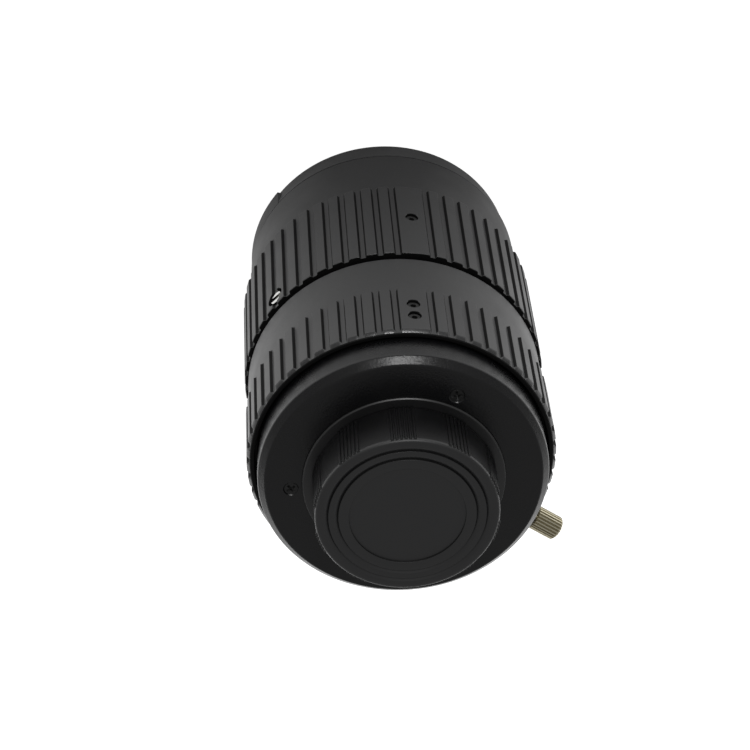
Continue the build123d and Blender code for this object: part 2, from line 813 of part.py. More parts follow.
# Iris cup with holes for the blades' pivots and a slot for the drive screw
slot_gap_centre = 0.5 * (360.0 / blade_count + iris_turn) + blade_pin_angle
blade_first_angle = iris_strip_angle + slot_gap_centre
blade_angles = [blade_first_angle + n * 360.0 / blade_count for n in range(blade_count)]
with BuildPart() as iris_housing:
    with BuildSketch(Plane.XZ):
        with BuildLine():
            Polyline(
                (iris_cup_bore_radius, plate_front),
                (cup_bore, plate_front),
                (cup_bore, cup_front),
                (cup_radius, cup_front),
                (cup_radius, web_end),
                (iris_cup_bore_radius, web_end),
                close=True,
            )
        make_face()
    revolve(axis=Axis.Z)
    with BuildSketch(Plane.XY.offset(web_end)):
        with PolarLocations(blade_pivot_circle_radius, blade_count, blade_first_angle):
            Circle(blade_pivot_radius + running_clearance)
    extrude(amount=-iris_plate_thickness, mode=Mode.SUBTRACT)
    with BuildSketch(Plane.XY.offset(cup_front)):
        add(
            ring_sector(
                cup_bore - end_clearance,
                cup_radius + end_clearance,
                iris_strip_angle - drive_slot_margin,
                drive_slot_sweep,
            )
        )
    extrude(amount=drive_screw_height + drive_slot_half - cup_front, mode=Mode.SUBTRACT)


def iris_blade(number):
    """Iris blade in its own layer, with its pivot pin behind it and its drive pin in front."""
    angle = blade_angles[number]
    layer = blade_stack_rear - number * blade_layer_pitch - blade_thickness
    with BuildPart() as blade:
        with BuildSketch(turned_plane(angle, layer)):
            add(
                ring_sector(
                    blade_inner_radius,
                    blade_outer_radius,
                    -blade_tail_angle,
                    blade_tail_angle + blade_head_angle,
                )
            )
            add(
                ring_sector(
                    blade_pivot_circle_radius - blade_ear_inner_reach,
                    blade_pivot_circle_radius + blade_ear_outer_reach,
                    -blade_ear_angle,
                    blade_ear_angle + blade_head_angle,
                )
            )
        extrude(amount=blade_thickness)
        with BuildSketch(turned_plane(angle, layer)):
            with Locations((blade_pivot_circle_radius, 0)):
                Circle(blade_pivot_radius)
        extrude(amount=plate_front + iris_plate_thickness / 2 - layer)
        with BuildSketch(turned_plane(angle - blade_pin_angle, layer)):
            with Locations((blade_pivot_circle_radius, 0)):
                Circle(blade_pin_radius)
        extrude(amount=drive_ring_front + drive_ring_thickness / 4 - layer)
    return blade


iris_blades = [iris_blade(number) for number in range(blade_count)]


def slot_point(share):
    """Place of a blade's drive pin, seen from the drive ring, at a share of the iris's turn."""
    pivot = Vector(blade_pivot_circle_radius, 0, 0)
    pin = pivot.rotate(Axis.Z, -blade_pin_angle) - pivot
    place = pivot + pin.rotate(Axis.Z, -blade_turn * share)
    return place.rotate(Axis.Z, -iris_turn * share)


# Drive ring: curved slots that swing the blades, and a notch for the drive screw
with BuildPart() as iris_drive_ring:
    with BuildSketch(Plane.XY.offset(drive_ring_front)):
        Circle(drive_ring_radius)
        Circle(iris_cup_bore_radius, mode=Mode.SUBTRACT)
    extrude(amount=drive_ring_thickness)
    for angle in blade_angles:
        with BuildSketch(turned_plane(angle, drive_ring_front)):
            slot_path = ThreePointArc(slot_point(0), slot_point(0.5), slot_point(1), mode=Mode.PRIVATE)
            SlotArc(slot_path, 2 * (blade_pin_radius + thread_clearance))
        extrude(amount=drive_ring_thickness, mode=Mode.SUBTRACT)
    with BuildSketch(turned_plane(iris_strip_angle, drive_ring_front)):
        with Locations((drive_ring_radius, 0)):
            Rectangle(2 * drive_ring_notch_depth, 2 * (drive_pin_radius + running_clearance))
    extrude(amount=drive_ring_thickness, mode=Mode.SUBTRACT)

iris_retaining_ring = plain_ring(
    cup_radius, iris_retaining_bore_radius, iris_retaining_front, cup_front
)

# Front cell with the three front elements
cell_flange_front = filter_seat - front_cell_flange_thickness
cell_rear = iris_retaining_front - iris_retaining_gap
front_bore = front_glass_radius + glass_clearance
third_bore = third_glass_radius + glass_clearance
front_element_front = cell_flange_front + front_retainer_inset + front_retainer_length
front_element_rear = front_element_front + front_edge
second_front = front_element_rear + front_spacer_length
front_stack_seat = second_front + second_edge
third_seat = cell_rear - third_glass_bore_depth
cone_rear = third_seat - third_seat_length
cone_front = (cone_rear + front_stack_seat) / 2
with BuildPart() as front_cell:
    with BuildSketch(Plane.XZ):
        with BuildLine():
            Polyline(
                (front_bore, cell_flange_front),
                (front_cell_flange_radius, cell_flange_front),
                (front_cell_flange_radius, filter_seat),
                (front_cell_radius, filter_seat),
                (front_cell_radius, cell_rear),
                (third_bore, cell_rear),
                (third_bore, third_seat),
                (third_glass_clear_radius, third_seat),
                (third_glass_clear_radius, cone_rear),
                (front_cell_seat_radius, cone_front),
                (front_cell_seat_radius, front_stack_seat),
                (front_bore, front_stack_seat),
                close=True,
            )
        make_face()
    revolve(axis=Axis.Z)

front_dome_radius = front_cell_seat_radius - glass_rim_margin
third_dome_radius = third_glass_clear_radius - glass_rim_margin
third_rear = third_seat + third_edge
second_element = glass_element(
    front_glass_radius,
    front_dome_radius,
    second_front,
    front_stack_seat,
    second_bulge,
    second_rear_bulge,
)
front_spacer = plain_ring(
    front_glass_radius, front_glass_clear_radius, front_element_rear, second_front
)
front_element = glass_element(
    front_glass_radius,
    front_dome_radius,
    front_element_front,
    front_element_rear,
    front_bulge,
    front_rear_bulge,
)
front_retaining_ring = plain_ring(
    front_glass_radius,
    front_glass_clear_radius,
    front_element_front - front_retainer_length,
    front_element_front,
)
third_element = glass_element(
    third_glass_radius, third_dome_radius, third_seat, third_rear, third_bulge, third_rear_bulge
)
middle_retaining_ring = plain_ring(
    third_glass_radius, third_glass_clear_radius, third_rear, third_rear + middle_retainer_length
)

# Rear cap: moulded cup with ten groups of ribs and a stepped end face
with BuildPart() as rear_cap:
    cap_bore = mount_thread_radius + cap_clearance
    with BuildSketch(Plane.XZ):
        with BuildLine():
            Polyline(
                (0, cap_face - 2 * rear_cap_step - rear_cap_end_wall),
                (cap_bore, cap_face - 2 * rear_cap_step - rear_cap_end_wall),
                (cap_bore, rear_cap_seat_gap),
                (rear_cap_radius, rear_cap_seat_gap),
                (rear_cap_radius, cap_face - rear_cap_chamfer),
                (rear_cap_radius - rear_cap_chamfer, cap_face),
                (rear_cap_ring_radius, cap_face),
                (rear_cap_ring_radius, cap_face - rear_cap_step),
                (rear_cap_pan_radius, cap_face - rear_cap_step),
                (rear_cap_pan_radius, cap_face - 2 * rear_cap_step),
                (rear_cap_disc_radius, cap_face - 2 * rear_cap_step),
                (rear_cap_disc_radius, cap_face - rear_cap_step),
                (0, cap_face - rear_cap_step),
                close=True,
            )
        make_face()
    revolve(axis=Axis.Z)
    rib_angles = [
        rib_group_first_angle
        + group * 360.0 / rib_group_count
        + (rib - (ribs_per_group - 1) / 2) * rib_pitch_angle
        for group in range(rib_group_count)
        for rib in range(ribs_per_group)
    ]
    rib_length = cap_face - 2 * rib_end_gap - rear_cap_seat_gap
    with BuildSketch(Plane.XY.offset(rear_cap_seat_gap + rib_end_gap)):
        with Locations(
            *[Location(Vector(rear_cap_radius, 0, 0).rotate(Axis.Z, a), (0, 0, a)) for a in rib_angles]
        ):
            Polygon(
                (-rib_proud, -rib_root_width / 2),
                (rib_proud, -rib_crest_width / 2),
                (rib_proud, rib_crest_width / 2),
                (-rib_proud, rib_root_width / 2),
                align=None,
            )
    extrude(amount=rib_length)

# Front cap: cup that snaps into the filter thread
cap_rim = front_rim - front_cap_rim_gap
front_face = cap_rim - front_cap_height
cap_floor_top = front_face + front_cap_floor
cap_ledge_top = cap_floor_top + front_cap_ledge_height
spigot_top = front_rim + front_cap_spigot_height
window_width = tab_width + 2 * tab_side_gap
tab_angles = [tab_angle + n * 360.0 / tab_count for n in range(tab_count)]
window_floor = cap_floor_top
window_inner = tab_inner_face - tab_travel - plate_window_gap
with BuildPart() as front_cap:
    with BuildSketch(Plane.XZ):
        with BuildLine():
            cap_side_top = front_face + front_cap_rounding
            round_centre = front_cap_front_radius - front_cap_rounding
            round_mid = front_cap_rounding * (1 - math.sqrt(0.5))
            Polyline(
                (0, front_face),
                (round_centre, front_face),
            )
            ThreePointArc(
                (round_centre, front_face),
                (front_cap_front_radius - round_mid, front_face + round_mid),
                (front_cap_front_radius, cap_side_top),
            )
            Polyline(
                (front_cap_front_radius, cap_side_top),
                (front_cap_rear_radius, cap_rim),
                (spigot_outer, cap_rim),
                (spigot_outer, spigot_top),
                (front_cap_bore_radius, spigot_top),
                (front_cap_bore_radius, cap_ledge_top),
                (front_cap_bore_radius - front_cap_ledge, cap_ledge_top),
                (front_cap_bore_radius - front_cap_ledge, cap_floor_top),
                (0, cap_floor_top),
                (0, front_face),
            )
        make_face()
    revolve(axis=Axis.Z)
    with BuildSketch(turned_plane(tab_angle, cap_floor_top)):
        Rectangle(spring_block_length, spring_block_width)
    extrude(amount=front_cap_ledge_height)
    with BuildSketch(turned_plane(tab_angle, window_floor)):
        with GridLocations(2 * front_cap_rear_radius, 0, tab_count, 1):
            Rectangle(2 * (front_cap_rear_radius - window_inner), window_width)
    extrude(amount=spigot_top - window_floor, mode=Mode.SUBTRACT)

# Plate that holds the tabs and springs in the front cap
with BuildPart() as front_cap_plate:
    with BuildSketch(turned_plane(tab_angle, cap_ledge_top)):
        Circle(front_cap_bore_radius - fit_clearance)
        with GridLocations(2 * front_cap_bore_radius, 0, tab_count, 1):
            tab_wall_inner = front_cap_rear_radius - tab_wall
            tab_wall_corner = math.sqrt(tab_wall_inner**2 - (tab_width / 2) ** 2)
            hook_room = tab_wall_corner - tab_travel - plate_window_gap
            Rectangle(
                2 * (front_cap_bore_radius - hook_room),
                tab_width + 2 * tab_side_gap,
                mode=Mode.SUBTRACT,
            )
    extrude(amount=plate_thickness)


def front_cap_tab(angle):
    """Finger tab: slab between floor and plate, grip wall, and the hook that grips the thread."""
    slab_front = cap_floor_top + tab_floor_gap
    slab_rear = cap_ledge_top - tab_floor_gap
    hook_outer = filter_bore_radius - tab_hook_gap
    with BuildPart() as tab:
        with BuildSketch(turned_plane(angle, slab_front)):
            Circle(front_cap_rear_radius)
            with Locations((tab_inner_face + tab_width / 2, 0)):
                Rectangle(tab_width, tab_width, mode=Mode.INTERSECT)
        extrude(amount=slab_rear - slab_front)
        with BuildSketch(turned_plane(angle, slab_rear)):
            Circle(front_cap_rear_radius)
            Circle(front_cap_rear_radius - tab_wall, mode=Mode.SUBTRACT)
            with Locations((tab_inner_face + tab_width / 2, 0)):
                Rectangle(tab_width, tab_width, mode=Mode.INTERSECT)
        extrude(amount=cap_rim - slab_rear)
        with BuildSketch(turned_plane(angle, slab_rear)):
            Circle(hook_outer)
            Circle(hook_outer - tab_hook_wall, mode=Mode.SUBTRACT)
            with Locations((tab_inner_face + tab_width / 2, 0)):
                Rectangle(tab_width, tab_hook_width, mode=Mode.INTERSECT)
        extrude(amount=front_rim + tab_hook_height - slab_rear)
    return tab


front_cap_tabs = [front_cap_tab(angle) for angle in tab_angles]

spring_length = tab_inner_face - spring_block_length / 2 - 2 * end_clearance
spring_height = (cap_floor_top + cap_ledge_top) / 2


def front_cap_spring(angle):
    """Coil spring between the cap's block and a finger tab."""
    start = radial_plane(
        angle, spring_block_length / 2 + end_clearance + spring_wire_radius, spring_height
    )
    coil_length = spring_length - 2 * spring_wire_radius
    with BuildPart() as spring:
        with BuildLine() as coil:
            Helix(
                coil_length / spring_turns,
                coil_length,
                spring_coil_radius,
                center=start.origin,
                direction=start.z_dir,
            )
        with BuildSketch(Plane(origin=coil.line @ 0, z_dir=coil.line % 0)):
            Circle(spring_wire_radius)
        sweep()
    return spring


front_cap_springs = [front_cap_spring(angle) for angle in tab_angles]

pieces = {
    "c_mount_ring": c_mount_ring,
    "rear_housing": rear_housing,
    "rear_housing_screws": rear_housing_screws,
    "main_barrel": main_barrel,
    "iris_ring": iris_ring,
    "iris_set_screws": iris_set_screws,
    "iris_drive_screw": iris_drive_screw,
    "iris_lock_screw": iris_lock_screw,
    "iris_housing": iris_housing,
    "iris_drive_ring": iris_drive_ring,
    "iris_retaining_ring": iris_retaining_ring,
    "focus_ring": focus_ring,
    "focus_set_screws": focus_set_screws,
    "focus_stop_screw": focus_stop_screw,
    "helicoid_ring": helicoid_ring,
    "helicoid_retaining_ring": helicoid_retaining_ring,
    "guide_key": guide_key,
    "front_barrel": front_barrel,
    "front_cell": front_cell,
    "front_element": front_element,
    "front_spacer": front_spacer,
    "front_retaining_ring": front_retaining_ring,
    "second_element": second_element,
    "third_element": third_element,
    "middle_retaining_ring": middle_retaining_ring,
    "rear_cell": rear_cell,
    "fourth_element": fourth_element,
    "rear_spacer": rear_spacer,
    "rear_element": rear_element,
    "rear_retaining_ring": rear_retaining_ring,
    "rear_cap": rear_cap,
    "front_cap": front_cap,
    "front_cap_plate": front_cap_plate,
}
for number, blade in enumerate(iris_blades, start=1):
    pieces[f"iris_blade_{number}"] = blade
for number, tab in enumerate(front_cap_tabs, start=1):
    pieces[f"front_cap_tab_{number}"] = tab
for number, spring in enumerate(front_cap_springs, start=1):
    pieces[f"front_cap_spring_{number}"] = spring

os.makedirs("parts", exist_ok=True)
for name, piece in pieces.items():
    piece.part.label = name
    export_step(piece.part, f"parts/{name}.step")
    print(name, len(piece.part.solids()), round(piece.part.volume, 2), piece.part.is_valid)
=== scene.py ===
"""Looks of a C-mount machine vision lens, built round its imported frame.

Sizes are millimetres in the frame's own axes: +Z is the optical axis towards the camera mount,
the front of the lens points down. mm() turns them to metres where a mesh is written.
"""

import json
import logging
import math
from dataclasses import dataclass
from enum import Enum
from typing import Callable, Sequence

import bmesh
import bpy
from bpy.types import Material, Mesh, Node, NodeOutputs, NodeSocket, NodeTree, Object
from mathutils import Matrix, Vector

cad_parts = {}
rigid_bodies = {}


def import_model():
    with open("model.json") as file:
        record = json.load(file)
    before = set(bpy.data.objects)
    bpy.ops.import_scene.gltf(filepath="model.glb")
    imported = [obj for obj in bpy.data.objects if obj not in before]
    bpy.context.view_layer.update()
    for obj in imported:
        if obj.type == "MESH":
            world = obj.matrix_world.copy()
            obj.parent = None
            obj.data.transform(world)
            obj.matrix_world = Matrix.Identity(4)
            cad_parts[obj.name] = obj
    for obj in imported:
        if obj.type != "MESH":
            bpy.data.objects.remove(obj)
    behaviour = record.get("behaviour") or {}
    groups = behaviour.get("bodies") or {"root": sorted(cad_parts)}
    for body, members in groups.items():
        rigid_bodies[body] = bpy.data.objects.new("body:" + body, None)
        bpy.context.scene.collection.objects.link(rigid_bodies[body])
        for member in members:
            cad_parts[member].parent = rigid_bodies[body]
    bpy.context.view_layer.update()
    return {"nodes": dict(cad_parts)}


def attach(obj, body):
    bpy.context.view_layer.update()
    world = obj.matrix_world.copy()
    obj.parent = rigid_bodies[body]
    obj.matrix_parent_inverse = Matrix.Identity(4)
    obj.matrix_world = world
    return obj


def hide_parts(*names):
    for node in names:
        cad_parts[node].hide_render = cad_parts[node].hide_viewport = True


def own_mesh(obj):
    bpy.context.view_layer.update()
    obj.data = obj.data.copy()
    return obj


LOG = logging.getLogger("lens")

FULL_TURN = 2 * math.pi
ROUND_SEGMENTS = 216
ARC_STEPS = 4
MERGE_DISTANCE = 0.000002  # in metres
SHARP_ANGLE = math.radians(32)
CORNER_SHARE = 0.45  # most of a side that a corner's rounding may take
CRISP = 0.05  # rounding of a sharp machined edge
EASED = 0.1  # rounding of an edge that was broken
OVERLAP = 0.02  # how far stacked parts of one mesh reach into each other
OVERSHOOT = 0.1  # how far a countersink's cutter stands out of the face
THREAD_SINK = 0.02  # how deep a thread's ridge sinks into its wall
THREAD_ROOT = 0.9  # widths of the ridge at its root and its crest, as shares of the pitch
THREAD_CREST = 0.15
FLOAT, INTEGER, MATERIAL = "NodeSocketFloat", "NodeSocketInt", "NodeSocketMaterial"
MATH = "ShaderNodeMath"


def mm(value: float) -> float:
    """Millimetres to Blender's metres."""
    return value * 0.001


# Mesh making


@dataclass(frozen=True)
class Corner:
    """A corner of a turned outline.

    radius and height place it, rounding is its fillet, and cut is how deep a groove goes there.
    """

    radius: float
    height: float
    rounding: float = 0.0
    cut: float = 0.0


@dataclass(frozen=True)
class Station:
    """An angle round the axis, and the share of each corner's cut that is taken away there."""

    angle: float
    share: float = 0.0


def rounded(corners: Sequence[Corner]) -> list[Corner]:
    """Replaces each corner that has a rounding by the points of its arc.

    Args:
        corners: the closed outline, in order.

    Returns:
        The outline with arcs of ARC_STEPS steps.
    """
    made = []
    for index, corner in enumerate(corners):
        if corner.rounding <= 0:
            made.append(corner)
            continue
        here = Vector((corner.radius, corner.height))
        before = corners[index - 1]
        after = corners[(index + 1) % len(corners)]
        back = Vector((before.radius, before.height)) - here
        ahead = Vector((after.radius, after.height)) - here
        reach = min(corner.rounding, CORNER_SHARE * back.length, CORNER_SHARE * ahead.length)
        start = here + back.normalized() * reach
        end = here + ahead.normalized() * reach
        for step in range(ARC_STEPS + 1):
            t = step / ARC_STEPS
            point = start * (1 - t) ** 2 + here * (2 * t * (1 - t)) + end * t**2
            made.append(Corner(point.x, point.y, 0.0, corner.cut))
    return made


def even_stations(count: int = ROUND_SEGMENTS) -> list[Station]:
    """Stations spread evenly over a full turn."""
    return [Station(FULL_TURN * n / count) for n in range(count)]


def turned_mesh(
    name: str,
    corners: Sequence[Corner],
    stations: Sequence[Station] | None = None,
    full_turn: bool = True,
    warp: Callable[[float, float, float], float] | None = None,
) -> Mesh:
    """Turns a closed outline round the axis.

    Args:
        name: name of the mesh.
        corners: closed outline; a corner of radius 0 lies on the axis.
        stations: angles, or None for an even turn.
        full_turn: False leaves the turn open, for a sector that is copied later.
        warp: gives the radius from radius, height and angle, for outlines that aren't round.

    Returns:
        The mesh, with its faces pointing outwards.
    """
    outline = rounded(corners)
    places = stations or even_stations()
    work = bmesh.new()
    rows = []
    for place in places:
        row = []
        for corner in outline:
            radius = corner.radius - corner.cut * place.share
            if warp is not None:
                radius = warp(radius, corner.height, place.angle)
            x = mm(radius) * math.cos(place.angle)
            y = mm(radius) * math.sin(place.angle)
            row.append(work.verts.new((x, y, mm(corner.height))))
        rows.append(row)
    size = len(outline)
    for index in range(len(rows) if full_turn else len(rows) - 1):
        here, there = rows[index], rows[(index + 1) % len(rows)]
        for point in range(size):
            after = (point + 1) % size
            on_axis = outline[point].radius == 0 and outline[after].radius == 0
            if not on_axis:
                work.faces.new((here[point], here[after], there[after], there[point]))
    return closed_mesh(name, work)


def closed_mesh(name: str, work: bmesh.types.BMesh) -> Mesh:
    """Merges doubles, turns the faces outwards and writes the mesh.

    Args:
        name: name of the mesh.
        work: the faces, which are freed.

    Returns:
        The closed mesh.
    """
    bmesh.ops.remove_doubles(work, verts=work.verts, dist=MERGE_DISTANCE)
    bmesh.ops.dissolve_degenerate(work, dist=MERGE_DISTANCE / 2, edges=work.edges)
    bmesh.ops.recalc_face_normals(work, faces=work.faces)
    mesh = bpy.data.meshes.new(name)
    work.to_mesh(mesh)
    work.free()
    return mesh


def prism_mesh(name: str, outline: Sequence[Vector], low: float, high: float) -> Mesh:
    """Upright prism over a closed outline.

    Args:
        name: name of the mesh.
        outline: corners in the plane across the axis, in millimetres.
        low: height of the lower face.
        high: height of the upper face.

    Returns:
        The closed mesh.
    """
    work = bmesh.new()
    floor = [work.verts.new((mm(p.x), mm(p.y), mm(low))) for p in outline]
    roof = [work.verts.new((mm(p.x), mm(p.y), mm(high))) for p in outline]
    work.faces.new(floor)
    work.faces.new(roof)
    for index in range(len(outline)):
        after = (index + 1) % len(outline)
        work.faces.new((floor[index], floor[after], roof[after], roof[index]))
    return closed_mesh(name, work)


def joined_mesh(name: str, meshes: Sequence[Mesh]) -> Mesh:
    """Puts several closed meshes into one and frees the parts.

    Args:
        name: name of the mesh.
        meshes: the parts.

    Returns:
        The joined mesh.
    """
    work = bmesh.new()
    for mesh in meshes:
        work.from_mesh(mesh)
        bpy.data.meshes.remove(mesh)
    joined = bpy.data.meshes.new(name)
    work.to_mesh(joined)
    work.free()
    return joined


def direction(angle: float) -> Vector:
    """Direction away from the axis at an angle in degrees."""
    turn = math.radians(angle)
    return Vector((math.cos(turn), math.sin(turn), 0.0))


def about_axis(angle: float) -> Matrix:
    """Turn about the axis by an angle in degrees."""
    return Matrix.Rotation(math.radians(angle), 4, "Z")


def radial_matrix(angle: float, radius: float, height: float) -> Matrix:
    """Places a piece modelled along +Z so that it points outwards from the axis.

    Args:
        angle: degrees round the axis.
        radius: where the piece's own origin lies, in millimetres from the axis.
        height: its height in millimetres.

    Returns:
        The transform, in metres.
    """
    outward = direction(angle)
    up = Vector((0, 0, 1))
    spin = Matrix((up, outward.cross(up), outward)).transposed().to_4x4()
    return Matrix.Translation(outward * mm(radius) + up * mm(height)) @ spin


def arc_points(radius: float, start: float, end: float, steps: int) -> list[Vector]:
    """Points along an arc round the axis.

    Args:
        radius: the arc's radius.
        start: its first angle, in radians.
        end: its last angle, in radians.
        steps: how many chords it has.

    Returns:
        The points, with both ends.
    """
    turns = [start + (end - start) * n / steps for n in range(steps + 1)]
    return [Vector((math.cos(turn), math.sin(turn))) * radius for turn in turns]


def as_object(name: str, mesh: Mesh) -> Object:
    """Links a mesh into the scene as an object at the origin.

    Args:
        name: name of the object and its mesh.
        mesh: the mesh.

    Returns:
        The object.
    """
    mesh.name = name
    piece = bpy.data.objects.new(name, mesh)
    bpy.context.scene.collection.objects.link(piece)
    return piece


def settle(piece: Object) -> None:
    """Applies the piece's modifiers, so that a plain mesh is left.

    Args:
        piece: the object that holds them.
    """
    graph = bpy.context.evaluated_depsgraph_get()
    baked = bpy.data.meshes.new_from_object(piece.evaluated_get(graph), depsgraph=graph)
    old = piece.data
    piece.modifiers.clear()
    piece.data = baked
    bpy.data.meshes.remove(old)
    baked.name = piece.name


def drill(piece: Object, cutters: Sequence[Mesh]) -> None:
    """Cuts the closed cutter meshes out of a piece.

    Args:
        piece: the object that is cut.
        cutters: the meshes, which are used up.
    """
    tool = as_object(f"{piece.name}_cutter", joined_mesh("cutter", cutters))
    cut = piece.modifiers.new("holes", "BOOLEAN")
    cut.operation = "DIFFERENCE"
    cut.solver = "EXACT"
    cut.object = tool
    settle(piece)
    bpy.data.objects.remove(tool)


def smooth(piece: Object, angle: float = SHARP_ANGLE) -> None:
    """Shades the piece smooth between its sharp edges, with flat faces kept flat.

    Args:
        piece: the object.
        angle: edges sharper than this stay sharp.
    """
    piece.data.shade_smooth()
    piece.data.set_sharp_from_angle(angle=angle)
    weigh = piece.modifiers.new("weighted_normals", "WEIGHTED_NORMAL")
    weigh.keep_sharp = True


# Geometry Nodes


def add_node(
    tree: NodeTree,
    kind: str,
    inputs: dict | None = None,
    **settings: object,
) -> Node:
    """Adds a node with its settings, values and links.

    Args:
        tree: the node tree.
        kind: the node's type name.
        inputs: socket name or number to a value, to the output socket that feeds it, or to a
            node whose first output feeds it.
        settings: attributes of the node.

    Returns:
        The node.
    """
    node = tree.nodes.new(kind)
    for name, value in settings.items():
        setattr(node, name, value)
    for key, value in (inputs or {}).items():
        if isinstance(value, Node):
            value = value.outputs[0]
        if isinstance(value, NodeSocket):
            tree.links.new(value, node.inputs[key])
        else:
            node.inputs[key].default_value = value
    return node


def start_tree(name: str, **sockets: str) -> tuple[NodeTree, NodeOutputs]:
    """Starts a Geometry Nodes tree with a geometry, the named inputs and a material going in.

    Args:
        name: the tree's name.
        sockets: name of each further input, with _ for a space, to its socket's type.

    Returns:
        The tree and the sockets of its inputs.
    """
    tree = bpy.data.node_groups.new(name, "GeometryNodeTree")
    face = tree.interface
    face.new_socket("Geometry", in_out="INPUT", socket_type="NodeSocketGeometry")
    face.new_socket("Geometry", in_out="OUTPUT", socket_type="NodeSocketGeometry")
    for label, kind in sockets.items():
        face.new_socket(label.replace("_", " "), in_out="INPUT", socket_type=kind)
    face.new_socket("Material", in_out="INPUT", socket_type=MATERIAL)
    return tree, add_node(tree, "NodeGroupInput").outputs


def end_tree(tree: NodeTree, shape: Node, material: NodeSocket) -> NodeTree:
    """Sets the material on the last node's geometry and hands the geometry out.

    Args:
        tree: the tree.
        shape: the node that gives the geometry.
        material: the socket that gives the material.

    Returns:
        The same tree.
    """
    dressed = add_node(tree, "GeometryNodeSetMaterial", {"Geometry": shape, "Material": material})
    add_node(tree, "NodeGroupOutput", {0: dressed})
    return tree


def polar_copies_tree() -> NodeTree:
    """Tree that sets copies of its geometry round the axis, leaving out every nth one.

    Returns:
        The tree, with its inputs named in start_tree's call.
    """
    tree, given = start_tree(
        "polar_copies", Count=INTEGER, First_Angle=FLOAT, Pitch=FLOAT, Skip_Every=INTEGER
    )
    number = add_node(tree, "GeometryNodeInputIndex")
    points = add_node(tree, "GeometryNodePoints", {"Count": given["Count"]})
    step = add_node(tree, MATH, {0: number, 1: given["Pitch"]}, operation="MULTIPLY")
    angle = add_node(tree, MATH, {0: step, 1: given["First Angle"]}, operation="ADD")
    turn = add_node(tree, "ShaderNodeCombineXYZ", {"Z": angle})
    rotation = add_node(tree, "FunctionNodeEulerToRotation", {0: turn})
    place = add_node(tree, MATH, {0: number, 1: 1.0}, operation="ADD")
    rest = add_node(tree, MATH, {0: place, 1: given["Skip Every"]}, operation="MODULO")
    more = {"data_type": "FLOAT", "operation": "GREATER_THAN"}
    kept = add_node(tree, "FunctionNodeCompare", {0: rest, 1: 0.5}, **more)
    copies = add_node(
        tree,
        "GeometryNodeInstanceOnPoints",
        {
            "Points": points,
            "Selection": kept,
            "Instance": given["Geometry"],
            "Rotation": rotation,
        },
    )
    real = add_node(tree, "GeometryNodeRealizeInstances", {0: copies})
    merging = {"Geometry": real, "Distance": MERGE_DISTANCE}
    whole = add_node(tree, "GeometryNodeMergeByDistance", merging)
    return end_tree(tree, whole, given["Material"])


def thread_tree() -> NodeTree:
    """Tree that winds a thread's ridge round the axis, from a low height upwards.

    Returns:
        The tree, with an input for each of the names.
    """
    names = ("Radius", "Pitch", "Turns", "Start_Height", "Root_Width", "Crest_Width", "Depth")
    tree, given = start_tree("screw_thread", **dict.fromkeys(names, FLOAT))
    rise = add_node(tree, MATH, {0: given["Pitch"], 1: given["Turns"]}, operation="MULTIPLY")
    path = add_node(
        tree,
        "GeometryNodeCurveSpiral",
        {
            "Resolution": 96,
            "Rotations": given["Turns"],
            "Start Radius": given["Radius"],
            "End Radius": given["Radius"],
            "Height": rise,
        },
    )
    lift = add_node(tree, "ShaderNodeCombineXYZ", {"Z": given["Start Height"]})
    placed = add_node(tree, "GeometryNodeTransform", {"Geometry": path, "Translation": lift})
    upright = add_node(tree, "GeometryNodeSetCurveNormal", {0: placed}, mode="Z_UP")
    ridge = add_node(
        tree,
        "GeometryNodeCurvePrimitiveQuadrilateral",
        {
            "Bottom Width": given["Root Width"],
            "Top Width": given["Crest Width"],
            "Height": given["Depth"],
            "Offset": 0.0,
        },
        mode="TRAPEZOID",
    )
    sweep = {"Curve": upright, "Profile Curve": ridge, "Fill Caps": True}
    wound = add_node(tree, "GeometryNodeCurveToMesh", sweep)
    return end_tree(tree, wound, given["Material"])


def run_tree(piece: Object, tree: NodeTree, values: dict) -> None:
    """Runs a Geometry Nodes tree on a piece and leaves the result as its mesh.

    Args:
        piece: the object whose mesh goes in.
        tree: the tree to run.
        values: input name to value.
    """
    modifier = piece.modifiers.new(tree.name, "NODES")
    modifier.node_group = tree
    for item in tree.interface.items_tree:
        if item.item_type == "SOCKET" and item.in_out == "INPUT" and item.name in values:
            modifier[item.identifier] = values[item.name]
    settle(piece)


